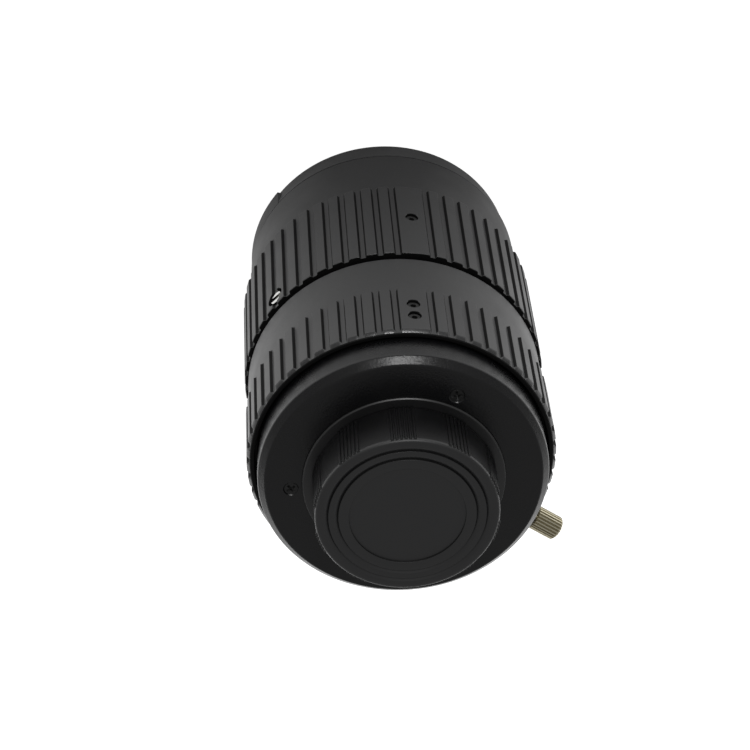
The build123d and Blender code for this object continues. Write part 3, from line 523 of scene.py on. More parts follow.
class Workshop:
    """Holds the two trees and makes pieces with them."""

    def __init__(self) -> None:
        """Makes each tree once."""
        self.copies = polar_copies_tree()
        self.thread = thread_tree()

    def copy_round(
        self,
        piece: Object,
        material: Material,
        count: int,
        first: float = 0.0,
        pitch: float | None = None,
        skip_every: int = 0,
    ) -> None:
        """Sets copies of a piece round the axis.

        Args:
            piece: the template, modelled at angle 0.
            material: its material.
            count: how many places there are.
            first: angle of the first place, in degrees.
            pitch: degrees from place to place, or None for an even turn.
            skip_every: leaves out every place of that number, or none at 0.
        """
        values = {
            "Count": count,
            "First Angle": math.radians(first),
            "Pitch": math.radians(360.0 / count if pitch is None else pitch),
            "Skip Every": skip_every or count + 1,
            "Material": material,
        }
        run_tree(piece, self.copies, values)

    def wind_thread(
        self,
        name: str,
        material: Material,
        wall: float,
        pitch: float,
        depth: float,
        start: float,
        length: float,
        inwards: bool = False,
    ) -> Mesh:
        """Winds a thread's ridge onto a wall and returns its mesh.

        Args:
            name: name of the mesh.
            material: its material.
            wall: radius of the wall that the ridge stands on.
            pitch: height of one turn.
            depth: how far the ridge stands out.
            start: its lowest height.
            length: how high it climbs.
            inwards: True for a nut's thread, which stands towards the axis.

        Returns:
            The mesh of the ridge.
        """
        piece = as_object(name, bpy.data.meshes.new(name))
        middle = depth / 2 - THREAD_SINK
        low, high = (THREAD_CREST, THREAD_ROOT) if inwards else (THREAD_ROOT, THREAD_CREST)
        values = {
            "Radius": mm(wall - middle if inwards else wall + middle),
            "Pitch": mm(pitch),
            "Turns": length / pitch,
            "Start Height": mm(start),
            "Root Width": mm(low * pitch),
            "Crest Width": mm(high * pitch),
            "Depth": mm(depth),
            "Material": material,
        }
        run_tree(piece, self.thread, values)
        mesh = piece.data
        bpy.data.objects.remove(piece)
        return mesh


# Finishes

CLOUD_MM = 9.0  # size of the broad clouds in which a surface varies


def linear(code: str) -> tuple[float, float, float, float]:
    """Turns an sRGB hex colour into linear values.

    Args:
        code: the colour, as # and six digits.

    Returns:
        Red, green, blue and an alpha of 1.
    """
    values = [int(code[n : n + 2], 16) / 255 for n in (1, 3, 5)]
    red, green, blue = (
        value / 12.92 if value <= 0.04045 else ((value + 0.055) / 1.055) ** 2.4 for value in values
    )
    return red, green, blue, 1.0


class Grain(Enum):
    """How the fine marks of a surface run."""

    TURNED = "turned"
    EVEN = "even"


@dataclass(frozen=True)
class Finish:
    """A surface: what it is made of, how it was made and what that gives the eye."""

    name: str
    colour: str
    slot: str
    metallic: float = 0.0
    roughness: float = 0.4
    roughness_spread: float = 0.05
    grain: Grain = Grain.EVEN
    grain_mm: float = 0.12
    relief_mm: float = 0.002
    speckle: float = 0.12
    ior: float | None = None
    transmission: float = 0.0

    def place(self, tree: NodeTree) -> NodeSocket | Node:
        """Gives the coordinates in which the surface's marks are drawn.

        Args:
            tree: the material's node tree.

        Returns:
            Object coordinates, or radius and height alone for marks left by a lathe.
        """
        spot = add_node(tree, "ShaderNodeTexCoord").outputs["Object"]
        if self.grain is Grain.EVEN:
            return spot
        parts = add_node(tree, "ShaderNodeSeparateXYZ", {0: spot}).outputs
        flat = add_node(tree, "ShaderNodeCombineXYZ", {"X": parts["X"], "Y": parts["Y"]})
        radius = add_node(tree, "ShaderNodeVectorMath", {0: flat}, operation="LENGTH")
        across = {"X": radius.outputs["Value"], "Z": parts["Z"]}
        return add_node(tree, "ShaderNodeCombineXYZ", across)

    def material(self) -> Material:
        """Builds the material.

        Returns:
            A material with its own grain, speckle and roughness pattern.
        """
        made = bpy.data.materials.new(self.name)
        made.use_nodes = True
        tree = made.node_tree
        tree.nodes.clear()
        spot = add_node(tree, "ShaderNodeTexCoord").outputs["Object"]
        grain = {"Scale": 1 / mm(self.grain_mm), "Detail": 3.0, "Roughness": 0.6}
        fine = add_node(tree, "ShaderNodeTexNoise", {"Vector": self.place(tree), **grain})
        clouds = {"Scale": 1 / mm(CLOUD_MM), "Detail": 4.0, "Roughness": 0.55}
        broad = add_node(tree, "ShaderNodeTexNoise", {"Vector": spot, **clouds})
        shader = add_node(
            tree,
            "ShaderNodeBsdfPrincipled",
            {
                "Base Color": self.shade(tree, fine, broad),
                "Roughness": self.gloss(tree, broad),
                "Metallic": self.metallic,
                "Transmission Weight": self.transmission,
            },
        )
        if self.ior is not None:
            shader.inputs["IOR"].default_value = self.ior
        if self.relief_mm:
            relief = {"Height": fine, "Strength": 0.6, "Distance": mm(self.relief_mm)}
            bump = add_node(tree, "ShaderNodeBump", relief)
            tree.links.new(bump.outputs[0], shader.inputs["Normal"])
        add_node(tree, "ShaderNodeOutputMaterial", {"Surface": shader})
        return made

    def shade(self, tree: NodeTree, fine: Node, broad: Node) -> tuple | Node:
        """Colour of the surface: its own, or speckled darker and lighter round it.

        Args:
            tree: the material's node tree.
            fine: the grain's noise.
            broad: the clouds' noise.

        Returns:
            The linear colour, or the node that gives it.
        """
        base = linear(self.colour)
        if not self.speckle:
            return base
        mixed = add_node(tree, MATH, {0: fine, 1: broad, 2: 0.1}, operation="MULTIPLY_ADD")
        share = add_node(tree, "ShaderNodeMapRange", {"Value": mixed, 1: 0.2, 2: 0.55})
        ramp = add_node(tree, "ShaderNodeValToRGB", {0: share})
        for element, factor in zip(ramp.color_ramp.elements, (1 - self.speckle, 1 + self.speckle)):
            element.color = [min(1.0, value * factor) for value in base[:3]] + [1.0]
        return ramp

    def gloss(self, tree: NodeTree, broad: Node) -> float | Node:
        """Roughness of the surface: even, or a little rougher and smoother in clouds.

        Args:
            tree: the material's node tree.
            broad: the clouds' noise.

        Returns:
            The roughness, or the node that gives it.
        """
        if not self.roughness_spread:
            return self.roughness
        low = self.roughness - self.roughness_spread
        high = self.roughness + self.roughness_spread
        clouds = {"Value": broad, 1: 0.3, 2: 0.7, 3: low, 4: high}
        return add_node(tree, "ShaderNodeMapRange", clouds)


# Satin black anodising on turned aluminium: a dyed oxide layer, nearly black face on, that
# throws back the white surroundings at a low angle. Used on the barrel and both control rings.
ANODISED = Finish(
    "black_anodised_aluminium", "#0a0a0b", "anodised_aluminium",
    roughness=0.42, ior=1.54, grain=Grain.TURNED, grain_mm=0.25, relief_mm=0.0015,
)
# Rear housing: fine blasting before the anodising leaves it matt and grainy.
BLASTED = Finish(
    "blasted_anodised_aluminium", "#0b0b0c", "anodised_aluminium",
    roughness=0.28, ior=1.36, grain_mm=0.34, relief_mm=0.055,
)
# Side of the rear cap: the same plastic, glossier where the mould is polished, painted darker as
# shade.
POLISHED_PAINTED_SHADE = Finish(
    "polished_moulded_plastic_painted_shade", "#070708", "moulded_plastic",
    roughness=0.36, ior=1.42,
)
# Walls of the milled grooves and the rings' end faces: matt from the cutter, painted blacker as
# shade.
MILLED_PAINTED_SHADE = Finish(
    "milled_anodised_aluminium_painted_shade", "#050505", "anodised_aluminium",
    roughness=0.6, ior=1.22, grain_mm=0.15,
)
# Chamfered edges of the rings, rubbed bright by fingers.
BURNISHED = Finish(
    "rubbed_anodised_aluminium", "#0c0c0d", "anodised_aluminium",
    roughness=0.27, ior=1.62, grain_mm=0.25, relief_mm=0.03,
)
# Anodising inside the barrel, matt to keep stray light down.
INNER_BLACK = Finish(
    "matt_black_anodised_aluminium", "#0c0c0d", "anodised_aluminium",
    roughness=0.62, grain=Grain.TURNED, grain_mm=0.3,
)
# Chemically blackened steel screws: a little duller than the barrel.
BLACK_STEEL = Finish(
    "black_oxide_steel", "#0a0a0a", "black_oxide_steel",
    roughness=0.55, ior=1.4, grain_mm=0.15,
)
# Thin blackened spring steel sheet of the iris.
BLADE_STEEL = Finish(
    "blackened_spring_steel", "#121212", "blade_steel",
    metallic=0.5, roughness=0.4, grain_mm=0.2,
)
# Turned nickel silver of the thumbscrew: bright, slightly warm.
NICKEL_SILVER = Finish(
    "turned_nickel_silver", "#b6b09b", "nickel_silver",
    metallic=1.0, roughness=0.28, grain_mm=0.15, speckle=0.06,
)
# Zinc plated steel of the slotted screw: bright and nearly white.
PLATED_STEEL = Finish(
    "zinc_plated_steel", "#ecece9", "zinc_plated_steel",
    metallic=1.0, roughness=0.22, grain_mm=0.15, speckle=0.06,
)
# Moulded polypropylene of the caps: even fine grain, soft reflections.
MOULDED = Finish(
    "moulded_black_polypropylene", "#0f0f10", "moulded_plastic",
    roughness=0.45, ior=1.5, grain_mm=0.22, relief_mm=0.004, speckle=0.08,
)
# Polished and coated optical glass.
GLASS = Finish(
    "coated_optical_glass", "#e9f2ee", "coated_glass",
    roughness=0.03, roughness_spread=0.0, relief_mm=0.0, speckle=0.0, ior=1.52, transmission=1.0,
)
# Milled brass of the hidden key.
BRASS = Finish(
    "milled_brass", "#b08d4c", "brass",
    metallic=1.0, roughness=0.3, speckle=0.06,
)
# Drawn wire of the cap's springs.
SPRING_WIRE = Finish(
    "drawn_spring_wire", "#b9b9b9", "spring_steel",
    metallic=1.0, roughness=0.28, speckle=0.05,
)


class Stock:
    """Makes each finish's material once and hands it out."""

    def __init__(self) -> None:
        """Starts with no material made."""
        self.made: dict[str, Material] = {}

    def get(self, finish: Finish) -> Material:
        """Gives a finish's material, made on first use.

        Args:
            finish: the surface.

        Returns:
            Its material.
        """
        if finish.name not in self.made:
            self.made[finish.name] = finish.material()
        return self.made[finish.name]


class Assembly:
    """Base of each sub-assembly: keeps the tools and dresses finished pieces."""

    def __init__(self, workshop: Workshop, stock: Stock) -> None:
        """Keeps the shared tools."""
        self.workshop = workshop
        self.stock = stock

    def dress(
        self,
        piece: Object,
        finish: Finish,
        body: str,
        *nodes: str,
        angle: float = SHARP_ANGLE,
    ) -> Object:
        """Gives a finished piece its material, its body and the nodes that it stands for.

        Args:
            piece: the finished object.
            finish: its surface.
            body: the frame's body that it moves with.
            nodes: the frame's nodes that it replaces.
            angle: edges sharper than this stay sharp.

        Returns:
            The same object.
        """
        piece.data.materials.clear()
        piece.data.materials.append(self.stock.get(finish))
        for face in piece.data.polygons:
            face.material_index = 0
        smooth(piece, angle)
        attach(piece, body)
        if nodes:
            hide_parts(*nodes)
        LOG.info("%s: %d faces on %s", piece.name, len(piece.data.polygons), body)
        return piece

    def add(
        self,
        name: str,
        mesh: Mesh,
        finish: Finish,
        body: str,
        *nodes: str,
        angle: float = SHARP_ANGLE,
    ) -> Object:
        """Links a finished mesh as a piece and dresses it; the arguments are those of dress."""
        return self.dress(as_object(name, mesh), finish, body, *nodes, angle=angle)

    def turn(
        self, name: str, corners: Sequence[Corner], finish: Finish, body: str, *nodes: str
    ) -> Object:
        """Turns a closed outline into a piece and dresses it."""
        return self.add(name, turned_mesh(name, corners), finish, body, *nodes)


# Small screws


def regular_radius(sides: int, flat_radius: float, angle: float) -> float:
    """Distance from the centre to the side of a regular polygon at an angle.

    Args:
        sides: how many sides it has.
        flat_radius: distance to the middle of a side.
        angle: where it is asked, in radians.

    Returns:
        The distance.
    """
    sector = FULL_TURN / sides
    offset = (angle + sector / 2) % sector - sector / 2
    return flat_radius / math.cos(offset)


def cross_radius(reach: float, half_width: float, angle: float) -> float:
    """Distance from the centre to the outline of a cross at an angle.

    Args:
        reach: length of an arm.
        half_width: half the width of an arm.
        angle: where it is asked, in radians.

    Returns:
        The distance.
    """
    quarter = math.pi / 2
    offset = abs((angle + quarter / 2) % quarter - quarter / 2)
    side = half_width / math.sin(offset) if offset > 1e-6 else reach
    return min(reach / math.cos(offset), max(side, half_width))


@dataclass(frozen=True)
class SocketScrew:
    """Grub screw with a hex socket, modelled along +Z with its outer end at 0."""

    radius: float = 1.05
    length: float = 1.0
    socket_radius: float = 0.45
    socket_depth: float = 0.5
    drill_point: float = 0.15
    mouth: float = 0.05
    lip: float = 0.04
    edge: float = 0.12

    def mesh(self, name: str) -> Mesh:
        """Builds the screw's mesh.

        Args:
            name: name of the mesh.

        Returns:
            The mesh, upright with the face of its outer end at 0.
        """
        floor = -self.socket_depth
        corners = [
            Corner(0, floor - self.drill_point),
            Corner(self.socket_radius, floor),
            Corner(self.socket_radius, -self.lip),
            Corner(self.socket_radius + self.mouth, 0),
            Corner(self.radius - self.edge, 0),
            Corner(self.radius, -self.edge),
            Corner(self.radius, -self.length),
            Corner(0, -self.length),
        ]

        def shaped(radius: float, height: float, angle: float) -> float:
            """Gives the socket its six flats.

            Args:
                radius: the outline's radius.
                height: its height; not used.
                angle: where it is asked, in radians.

            Returns:
                The radius there.
            """
            if 0 < radius <= self.socket_radius + self.mouth + 0.01:
                return radius * regular_radius(6, 1.0, angle)
            return radius

        return turned_mesh(name, corners, even_stations(48), warp=shaped)


@dataclass(frozen=True)
class CrossScrew:
    """Countersunk cross-head screw along +Z with its head's face at 0."""

    head_radius: float = 1.15
    shank_radius: float = 0.8
    length: float = 6.0
    reach: float = 0.85
    half_width: float = 0.2
    depth: float = 0.55
    cone: float = 0.45  # share of the reach at which the recess's floor ends
    cone_depth: float = 0.8  # share of the depth there
    mouth: float = 0.04
    lip: float = 0.02
    edge: float = 0.05

    def mesh(self, name: str) -> Mesh:
        """Builds the screw's mesh.

        Args:
            name: name of the mesh.

        Returns:
            The mesh, upright with the face of its outer end at 0.
        """
        head = self.head_radius - self.shank_radius
        corners = [
            Corner(0, -self.depth),
            Corner(self.cone * self.reach, -self.cone_depth * self.depth),
            Corner(self.reach, -self.lip),
            Corner(self.reach + self.mouth, 0),
            Corner(self.head_radius - self.edge, 0),
            Corner(self.head_radius, -self.edge),
            Corner(self.shank_radius, -head),
            Corner(self.shank_radius, -self.length),
            Corner(0, -self.length),
        ]

        def shaped(radius: float, height: float, angle: float) -> float:
            """Gives the recess its cross.

            Args:
                radius: the outline's radius.
                height: its height.
                angle: where it is asked, in radians.

            Returns:
                The radius there.
            """
            if 0 < radius <= self.reach + self.mouth + 0.01 and height > -head:
                share = radius / self.reach
                return min(radius, share * cross_radius(self.reach, self.half_width, angle))
            return radius

        return turned_mesh(name, corners, even_stations(96), warp=shaped)


# Sub-assemblies


@dataclass
class RearCapSizes:
    """Sizes of the cap over the camera mount's thread."""

    radius: float = 14.8
    bore: float = 12.8
    seat: float = 0.05
    face: float = 8.9
    end_wall: float = 1.5
    ring: float = 12.6
    pan: float = 11.0
    disc: float = 9.35
    step: float = 0.25
    crease: float = 0.36
    slope: float = 0.7
    rim_round: float = 0.75
    draft: float = 0.04
    side_depth: float = 0.3  # how deep the side's faces with the painted shade may lie
    groups: int = 10
    first_group: float = 272.6
    ribs: int = 6
    rib_pitch: float = 2.75
    rib_proud: float = 0.25
    rib_width: float = 0.5
    rib_end: float = 0.2
    rib_top: float = 0.35


class RearCap(Assembly):
    """Moulded cap with ten groups of ribs and a stepped end face."""

    sizes = RearCapSizes()

    def outline(self) -> list[Corner]:
        """Outline of the cap's section.

        Returns:
            Its corners, from the axis round to the axis.
        """
        s = self.sizes
        middle = s.face - s.step
        inside = s.face - 2 * s.step - s.end_wall
        return [
            Corner(0, inside),
            Corner(s.bore, inside, 0.3),
            Corner(s.bore, s.seat, 0.15),
            Corner(s.radius, s.seat, EASED),
            Corner(s.radius, s.face, s.rim_round),
            Corner(s.ring + s.slope, s.face, EASED),
            Corner(s.ring + s.draft, s.face - s.crease),
            Corner(s.ring, s.face, CRISP),
            Corner(s.pan + s.slope, s.face, EASED),
            Corner(s.pan + s.draft, s.face - s.crease),
            Corner(s.pan, s.face, CRISP),
            Corner(s.disc, s.face, s.draft),
            Corner(s.disc - s.draft, middle),
            Corner(0, middle),
        ]

    def rib(self) -> Object:
        """One rib at angle 0: a half-round bar with flat ends, sunk into the wall.

        Returns:
            The rib, as an object that is copied round.
        """
        s = self.sizes
        half, sunk, steps = s.rib_width / 2, s.radius - s.rib_proud, 6
        turns = [math.pi * (n / steps - 0.5) for n in range(steps + 1)]
        outline = [
            Vector((s.radius + s.rib_proud * math.cos(turn), half * math.sin(turn)))
            for turn in turns
        ]
        outline += [Vector((sunk, half)), Vector((sunk, -half))]
        mesh = prism_mesh("rib", outline, s.seat + s.rib_end, s.face - s.rib_top)
        return as_object("rear_cap_ribs", mesh)

    def build(self) -> None:
        """Builds the cap and its ribs."""
        s = self.sizes
        material = self.stock.get(MOULDED)
        ribs = self.rib()
        self.workshop.copy_round(
            ribs, material, s.ribs, -(s.ribs - 1) / 2 * s.rib_pitch, s.rib_pitch
        )
        self.workshop.copy_round(ribs, material, s.groups, s.first_group)
        shell = turned_mesh("rear_cap_shell", self.outline(), even_stations(240))
        mesh = joined_mesh("rear_cap", [shell, ribs.data.copy()])
        bpy.data.objects.remove(ribs)
        self.add("rear_cap_moulding", mesh, MOULDED, "rear_cap", "rear_cap")
        # The cap's side faces take a glossier copy of the plastic, painted darker as shade.
        mesh.materials.append(self.stock.get(POLISHED_PAINTED_SHADE))
        outside = mm(s.radius - s.side_depth)
        for face in mesh.polygons:
            if abs(face.normal.z) < 0.5 and face.center.xy.length > outside:
                face.material_index = 1


@dataclass
class MountSizes:
    """Sizes of the camera mount ring and the rear housing."""

    thread: float = 12.7
    thread_length: float = 4.0
    thread_pitch: float = 25.4 / 32
    thread_depth: float = 0.43
    thread_gap: float = 0.3
    thread_ends: float = 0.5  # height without thread between the relief and the end
    lead: float = 0.2
    relief: float = 0.8
    bore: float = 11.0
    flange: float = 16.5
    flange_thickness: float = 1.5
    flange_proud: float = 0.5
    spigot: float = 15.0
    spigot_length: float = 7.0
    housing: float = 23.7
    housing_bore: float = 21.85
    housing_chamfer: float = 1.2
    chamfer_round: float = 0.25
    housing_floor: float = 3.5
    housing_length: float = 8.5
    fit: float = 0.02
    screw_circle: float = 18.3
    screw_first: float = 3.0
    screw_count: int = 3
    screw_sink: float = 0.1
    screw_turn: float = 35.0
    countersink: float = 1.3
    screw_hole: float = 0.85
    screw_depth: float = 4.5


class MountEnd(Assembly):
    """Mount ring with its thread, rear housing and its three screws."""

    sizes = MountSizes()

    def build(self) -> None:
        """Builds the pieces of the rear end."""
        self.mount_ring()
        self.housing()
        self.screws()

    def mount_ring(self) -> None:
        """Flange ring with the 1 inch, 32 to the inch thread."""
        s = self.sizes
        core = s.thread - s.thread_depth
        seat = -s.flange_thickness
        outline = [
            Corner(s.bore, seat - s.spigot_length),
            Corner(s.spigot, seat - s.spigot_length),
            Corner(s.spigot, seat),
            Corner(s.flange, seat, CRISP),
            Corner(s.flange, -s.lead, 0.06),
            Corner(s.flange - s.lead, 0, 0.06),
            Corner(core - s.lead, 0, EASED),
            Corner(core - s.lead, s.relief, EASED),
            Corner(core, s.relief, CRISP),
            Corner(core, s.thread_length - s.lead, CRISP),
            Corner(core - s.lead, s.thread_length, CRISP),
            Corner(s.bore, s.thread_length, EASED),
        ]
        thread = self.workshop.wind_thread(
            "c_mount_thread",
            self.stock.get(ANODISED),
            wall=core,
            pitch=s.thread_pitch,
            depth=s.thread_depth,
            start=s.relief + s.thread_gap,
            length=s.thread_length - s.relief - s.thread_ends,
        )
        mesh = joined_mesh("c_mount_ring", [turned_mesh("ring", outline), thread])
        self.add("mount_ring_threaded", mesh, ANODISED, "main", "c_mount_ring")

    def housing(self) -> None:
        """Cup with the chamfered rim that forms the rear face."""
        s = self.sizes
        top = -s.flange_proud
        floor = top - s.housing_floor
        end = top - s.housing_length
        outline = [
            Corner(s.spigot + s.fit, floor),
            Corner(s.housing_bore, floor),
            Corner(s.housing_bore, end),
            Corner(s.housing, end),
            Corner(s.housing, top - s.housing_chamfer, s.chamfer_round),
            Corner(s.housing - s.housing_chamfer, top, s.chamfer_round),
            Corner(s.flange + s.fit, top, 0.04),
            Corner(s.flange + s.fit, -s.flange_thickness),
            Corner(s.spigot + s.fit, -s.flange_thickness),
        ]
        piece = as_object("rear_housing_cup", turned_mesh("rear_housing_cup", outline))
        profile = [
            Corner(0, -s.screw_depth),
            Corner(s.screw_hole, -s.screw_depth),
            Corner(s.screw_hole, s.screw_hole - s.countersink),
            Corner(s.countersink, 0),
            Corner(s.countersink + OVERSHOOT, OVERSHOOT),
            Corner(0, OVERSHOOT),
        ]
        sinks = []
        for n in range(s.screw_count):
            sink = turned_mesh("sink", profile, even_stations(32))
            place = direction(s.screw_first + n * 360.0 / s.screw_count) * mm(s.screw_circle)
            sink.transform(Matrix.Translation(place + Vector((0, 0, mm(top)))))
            sinks.append(sink)
        drill(piece, sinks)
        self.dress(piece, BLASTED, "main", "rear_housing")

    def screws(self) -> None:
        """Three countersunk cross-head screws, set round the axis."""
        s = self.sizes
        mesh = CrossScrew().mesh("rear_screw")
        place = Vector((mm(s.screw_circle), 0, mm(-s.flange_proud - s.screw_sink)))
        mesh.transform(Matrix.Translation(place) @ about_axis(s.screw_turn))
        piece = as_object("rear_cross_screws", mesh)
        self.workshop.copy_round(piece, self.stock.get(BLACK_STEEL), s.screw_count, s.screw_first)
        self.dress(piece, BLACK_STEEL, "main", "rear_housing_screws")


@dataclass
class GripSizes:
    """Sizes of the grooves and screw holes that both control rings share."""

    count: int = 54
    width: float = 1.2
    depth: float = 0.5
    strips: int = 3
    hole: float = 1.1
    hole_bevel: float = 0.12
    sink: float = 0.4
    end_zone: float = 1.2  # length of each end that may carry a rubbed chamfer

    def stations(self, radius: float) -> list[Station]:
        """Angles across one pitch, with the groove's section in the middle.

        Args:
            radius: outer radius of the ring.

        Returns:
            Stations from half a pitch before the groove to half a pitch after it.
        """
        half = self.width / 2
        pitch = FULL_TURN / self.count
        # Distance from the groove's middle, with the share of its depth there.
        section = [
            (half + 0.35, 0.0),
            (half + 0.09, 0.0),
            (half + 0.04, 0.07),
            (half - 0.19, 0.93),
            (half - 0.24, 1.0),
            (half - 0.32, 1.0),
        ]
        before = [Station(-offset / radius, share) for offset, share in section]
        after = [Station(-station.angle, station.share) for station in reversed(before)]
        return [Station(-pitch / 2), *before, Station(0.0, 1.0), *after, Station(pitch / 2)]

    def plain_stations(self) -> list[Station]:
        """Angles across one pitch of a smooth strip."""
        pitch = FULL_TURN / self.count
        return [Station(pitch * (n / 8 - 0.5)) for n in range(9)]


class GripRing(Assembly):
    """What both control rings share: grooves round the ring, with three smooth strips."""

    grip = GripSizes()
    facing = 0.5  # part of a face's normal along the axis past which it belongs to an end
    square = 0.85  # part along or round the axis past which a face takes the painted shade
    sizes: "IrisSizes | FocusSizes"

    def outline(self) -> list[Corner]:
        """Section of the ring, which each ring gives itself."""
        raise NotImplementedError

    def land(self, inset: float, height: float) -> Corner:
        """Corner on the lands or inset from them, over a groove whose floor stays level."""
        return Corner(self.sizes.radius - inset, height, 0.0, self.grip.depth - inset)

    def strips(self) -> list[float]:
        """Angles of the smooth strips, in degrees."""
        count = self.grip.strips
        return [self.sizes.strip + n * 360.0 / count for n in range(count)]

    def make_ring(self, body: str, holes: Sequence[tuple[float, float, float]]) -> None:
        """Builds the ring, drills it and gives it its finishes.

        Args:
            body: the body that it moves with, which bears the name of its node.
            holes: angle, height and radius of each hole.
        """
        piece = self.ring(f"{body}_grooved")
        drill(piece, [self.radial_hole(*hole) for hole in holes])
        self.dress(piece, ANODISED, body, body)
        self.paint_shade_and_rub(piece)

    def ring(self, name: str) -> Object:
        """Builds the closed ring from copies of one grooved and one smooth sector.

        Args:
            name: the ring's name.

        Returns:
            The ring.
        """
        grip, first = self.grip, self.sizes.first_groove
        material = self.stock.get(ANODISED)
        outline, stations = self.outline(), grip.stations(self.sizes.radius)
        every = grip.count // grip.strips
        last = first + (every - 1) * (360.0 / grip.count)
        grooved = as_object(name, turned_mesh(name, outline, stations, full_turn=False))
        self.workshop.copy_round(grooved, material, grip.count, first, skip_every=every)
        strip = turned_mesh("strip", outline, grip.plain_stations(), full_turn=False)
        plain = as_object("strip", strip)
        self.workshop.copy_round(plain, material, grip.strips, last)
        work = bmesh.new()
        work.from_mesh(grooved.data)
        work.from_mesh(plain.data)
        bpy.data.objects.remove(plain)
        old = grooved.data
        grooved.data = closed_mesh(name, work)
        bpy.data.meshes.remove(old)
        return grooved

    def paint_shade_and_rub(self, piece: Object) -> None:
        """Gives the grooves' walls and end faces a copy of the finish painted blacker as shade,
        the chamfers a brighter one.

        Args:
            piece: the grooved ring.
        """
        mesh = piece.data
        for finish in (MILLED_PAINTED_SHADE, BURNISHED):
            mesh.materials.append(self.stock.get(finish))
        heights = [vertex.co.z for vertex in mesh.vertices]
        ends = (min(heights), max(heights))
        for face in mesh.polygons:
            across = Vector((-face.center.y, face.center.x)).normalized()
            sideways = abs(across.dot(face.normal.xy))
            endways = abs(face.normal.z)
            sunk = mm(self.sizes.radius) - face.center.xy.length > mm(self.grip.depth)
            at_end = min(abs(face.center.z - end) for end in ends) < mm(self.grip.end_zone)
            ending = endways > self.facing
            # Groove walls, flat end faces and sloped faces away from the ends take the copy
            # painted blacker as shade; the chamfers at the ends take the rubbed one.
            if max(sideways, endways) > self.square or (ending and (sunk or not at_end)):
                face.material_index = 1
            elif ending:
                face.material_index = 2

    def radial_hole(self, angle: float, height: float, radius: float) -> Mesh:
        """Cutter for a hole through the ring's wall, with a small bevel at its mouth.

        Args:
            angle: degrees round the axis.
            height: the hole's height.
            radius: the hole's radius.

        Returns:
            The cutter's mesh.
        """
        bevel, inside, outside = self.grip.hole_bevel, -2.0, 1.0
        corners = [
            Corner(0, inside),
            Corner(radius, inside),
            Corner(radius, 0.0),
            Corner(radius + bevel, bevel),
            Corner(radius + bevel, outside),
            Corner(0, outside),
        ]
        mesh = turned_mesh("hole", corners, even_stations(40))
        mesh.transform(radial_matrix(angle, self.sizes.hole_mouth, height))
        return mesh

    def socket_screws(
        self, name: str, places: Sequence[tuple[float, float]], body: str, node: str
    ) -> None:
        """Builds the sunk screws of a ring.

        Args:
            name: the piece's name.
            places: angle and height of each screw.
            body: the body that they move with.
            node: the node that they replace.
        """
        radius = self.sizes.radius - self.grip.sink
        meshes = []
        for angle, height in places:
            mesh = SocketScrew().mesh(name)
            mesh.transform(radial_matrix(angle, radius, height))
            meshes.append(mesh)
        self.add(name, joined_mesh(name, meshes), BLACK_STEEL, body, node)


@dataclass
class IrisSizes:
    """Sizes of the iris ring and its lock screw."""

    radius: float = 25.4
    bore: float = 23.95
    rear: float = -6.05
    front: float = -28.6
    rear_chamfer: float = 0.65
    mouth: float = 24.15
    mouth_depth: float = 2.6
    front_chamfer: float = 0.15
    groove_end: float = -18.5
    runout: float = 0.4
    first_groove: float = 271.85
    strip: float = 265.1
    hole_mouth: float = 25.3
    screw_height: float = -10.6
    drive_height: float = -14.0
    thumb_angle: float = 145.1


@dataclass(frozen=True)
class ThumbScrewSizes:
    """Sizes of the lock screw, with lengths measured from the optical axis.

    flute is the section of one flute: shares of its pitch, with the share of its depth there.
    """

    tip: float = 23.3
    dog: float = 0.55
    shank_start: float = 24.0
    shank: float = 1.0
    neck_start: float = 25.5
    neck_length: float = 2.0
    neck: float = 1.3
    head: float = 2.1
    head_length: float = 5.0
    bevel: float = 0.35
    flutes: int = 24
    flute_depth: float = 0.35
    flute: tuple = ((0.0, 0.0), (0.18, 0.0), (0.3, 0.8), (0.5, 1.0), (0.7, 0.8), (0.82, 0.0))
    nib: float = 0.5
    dish: float = 0.12


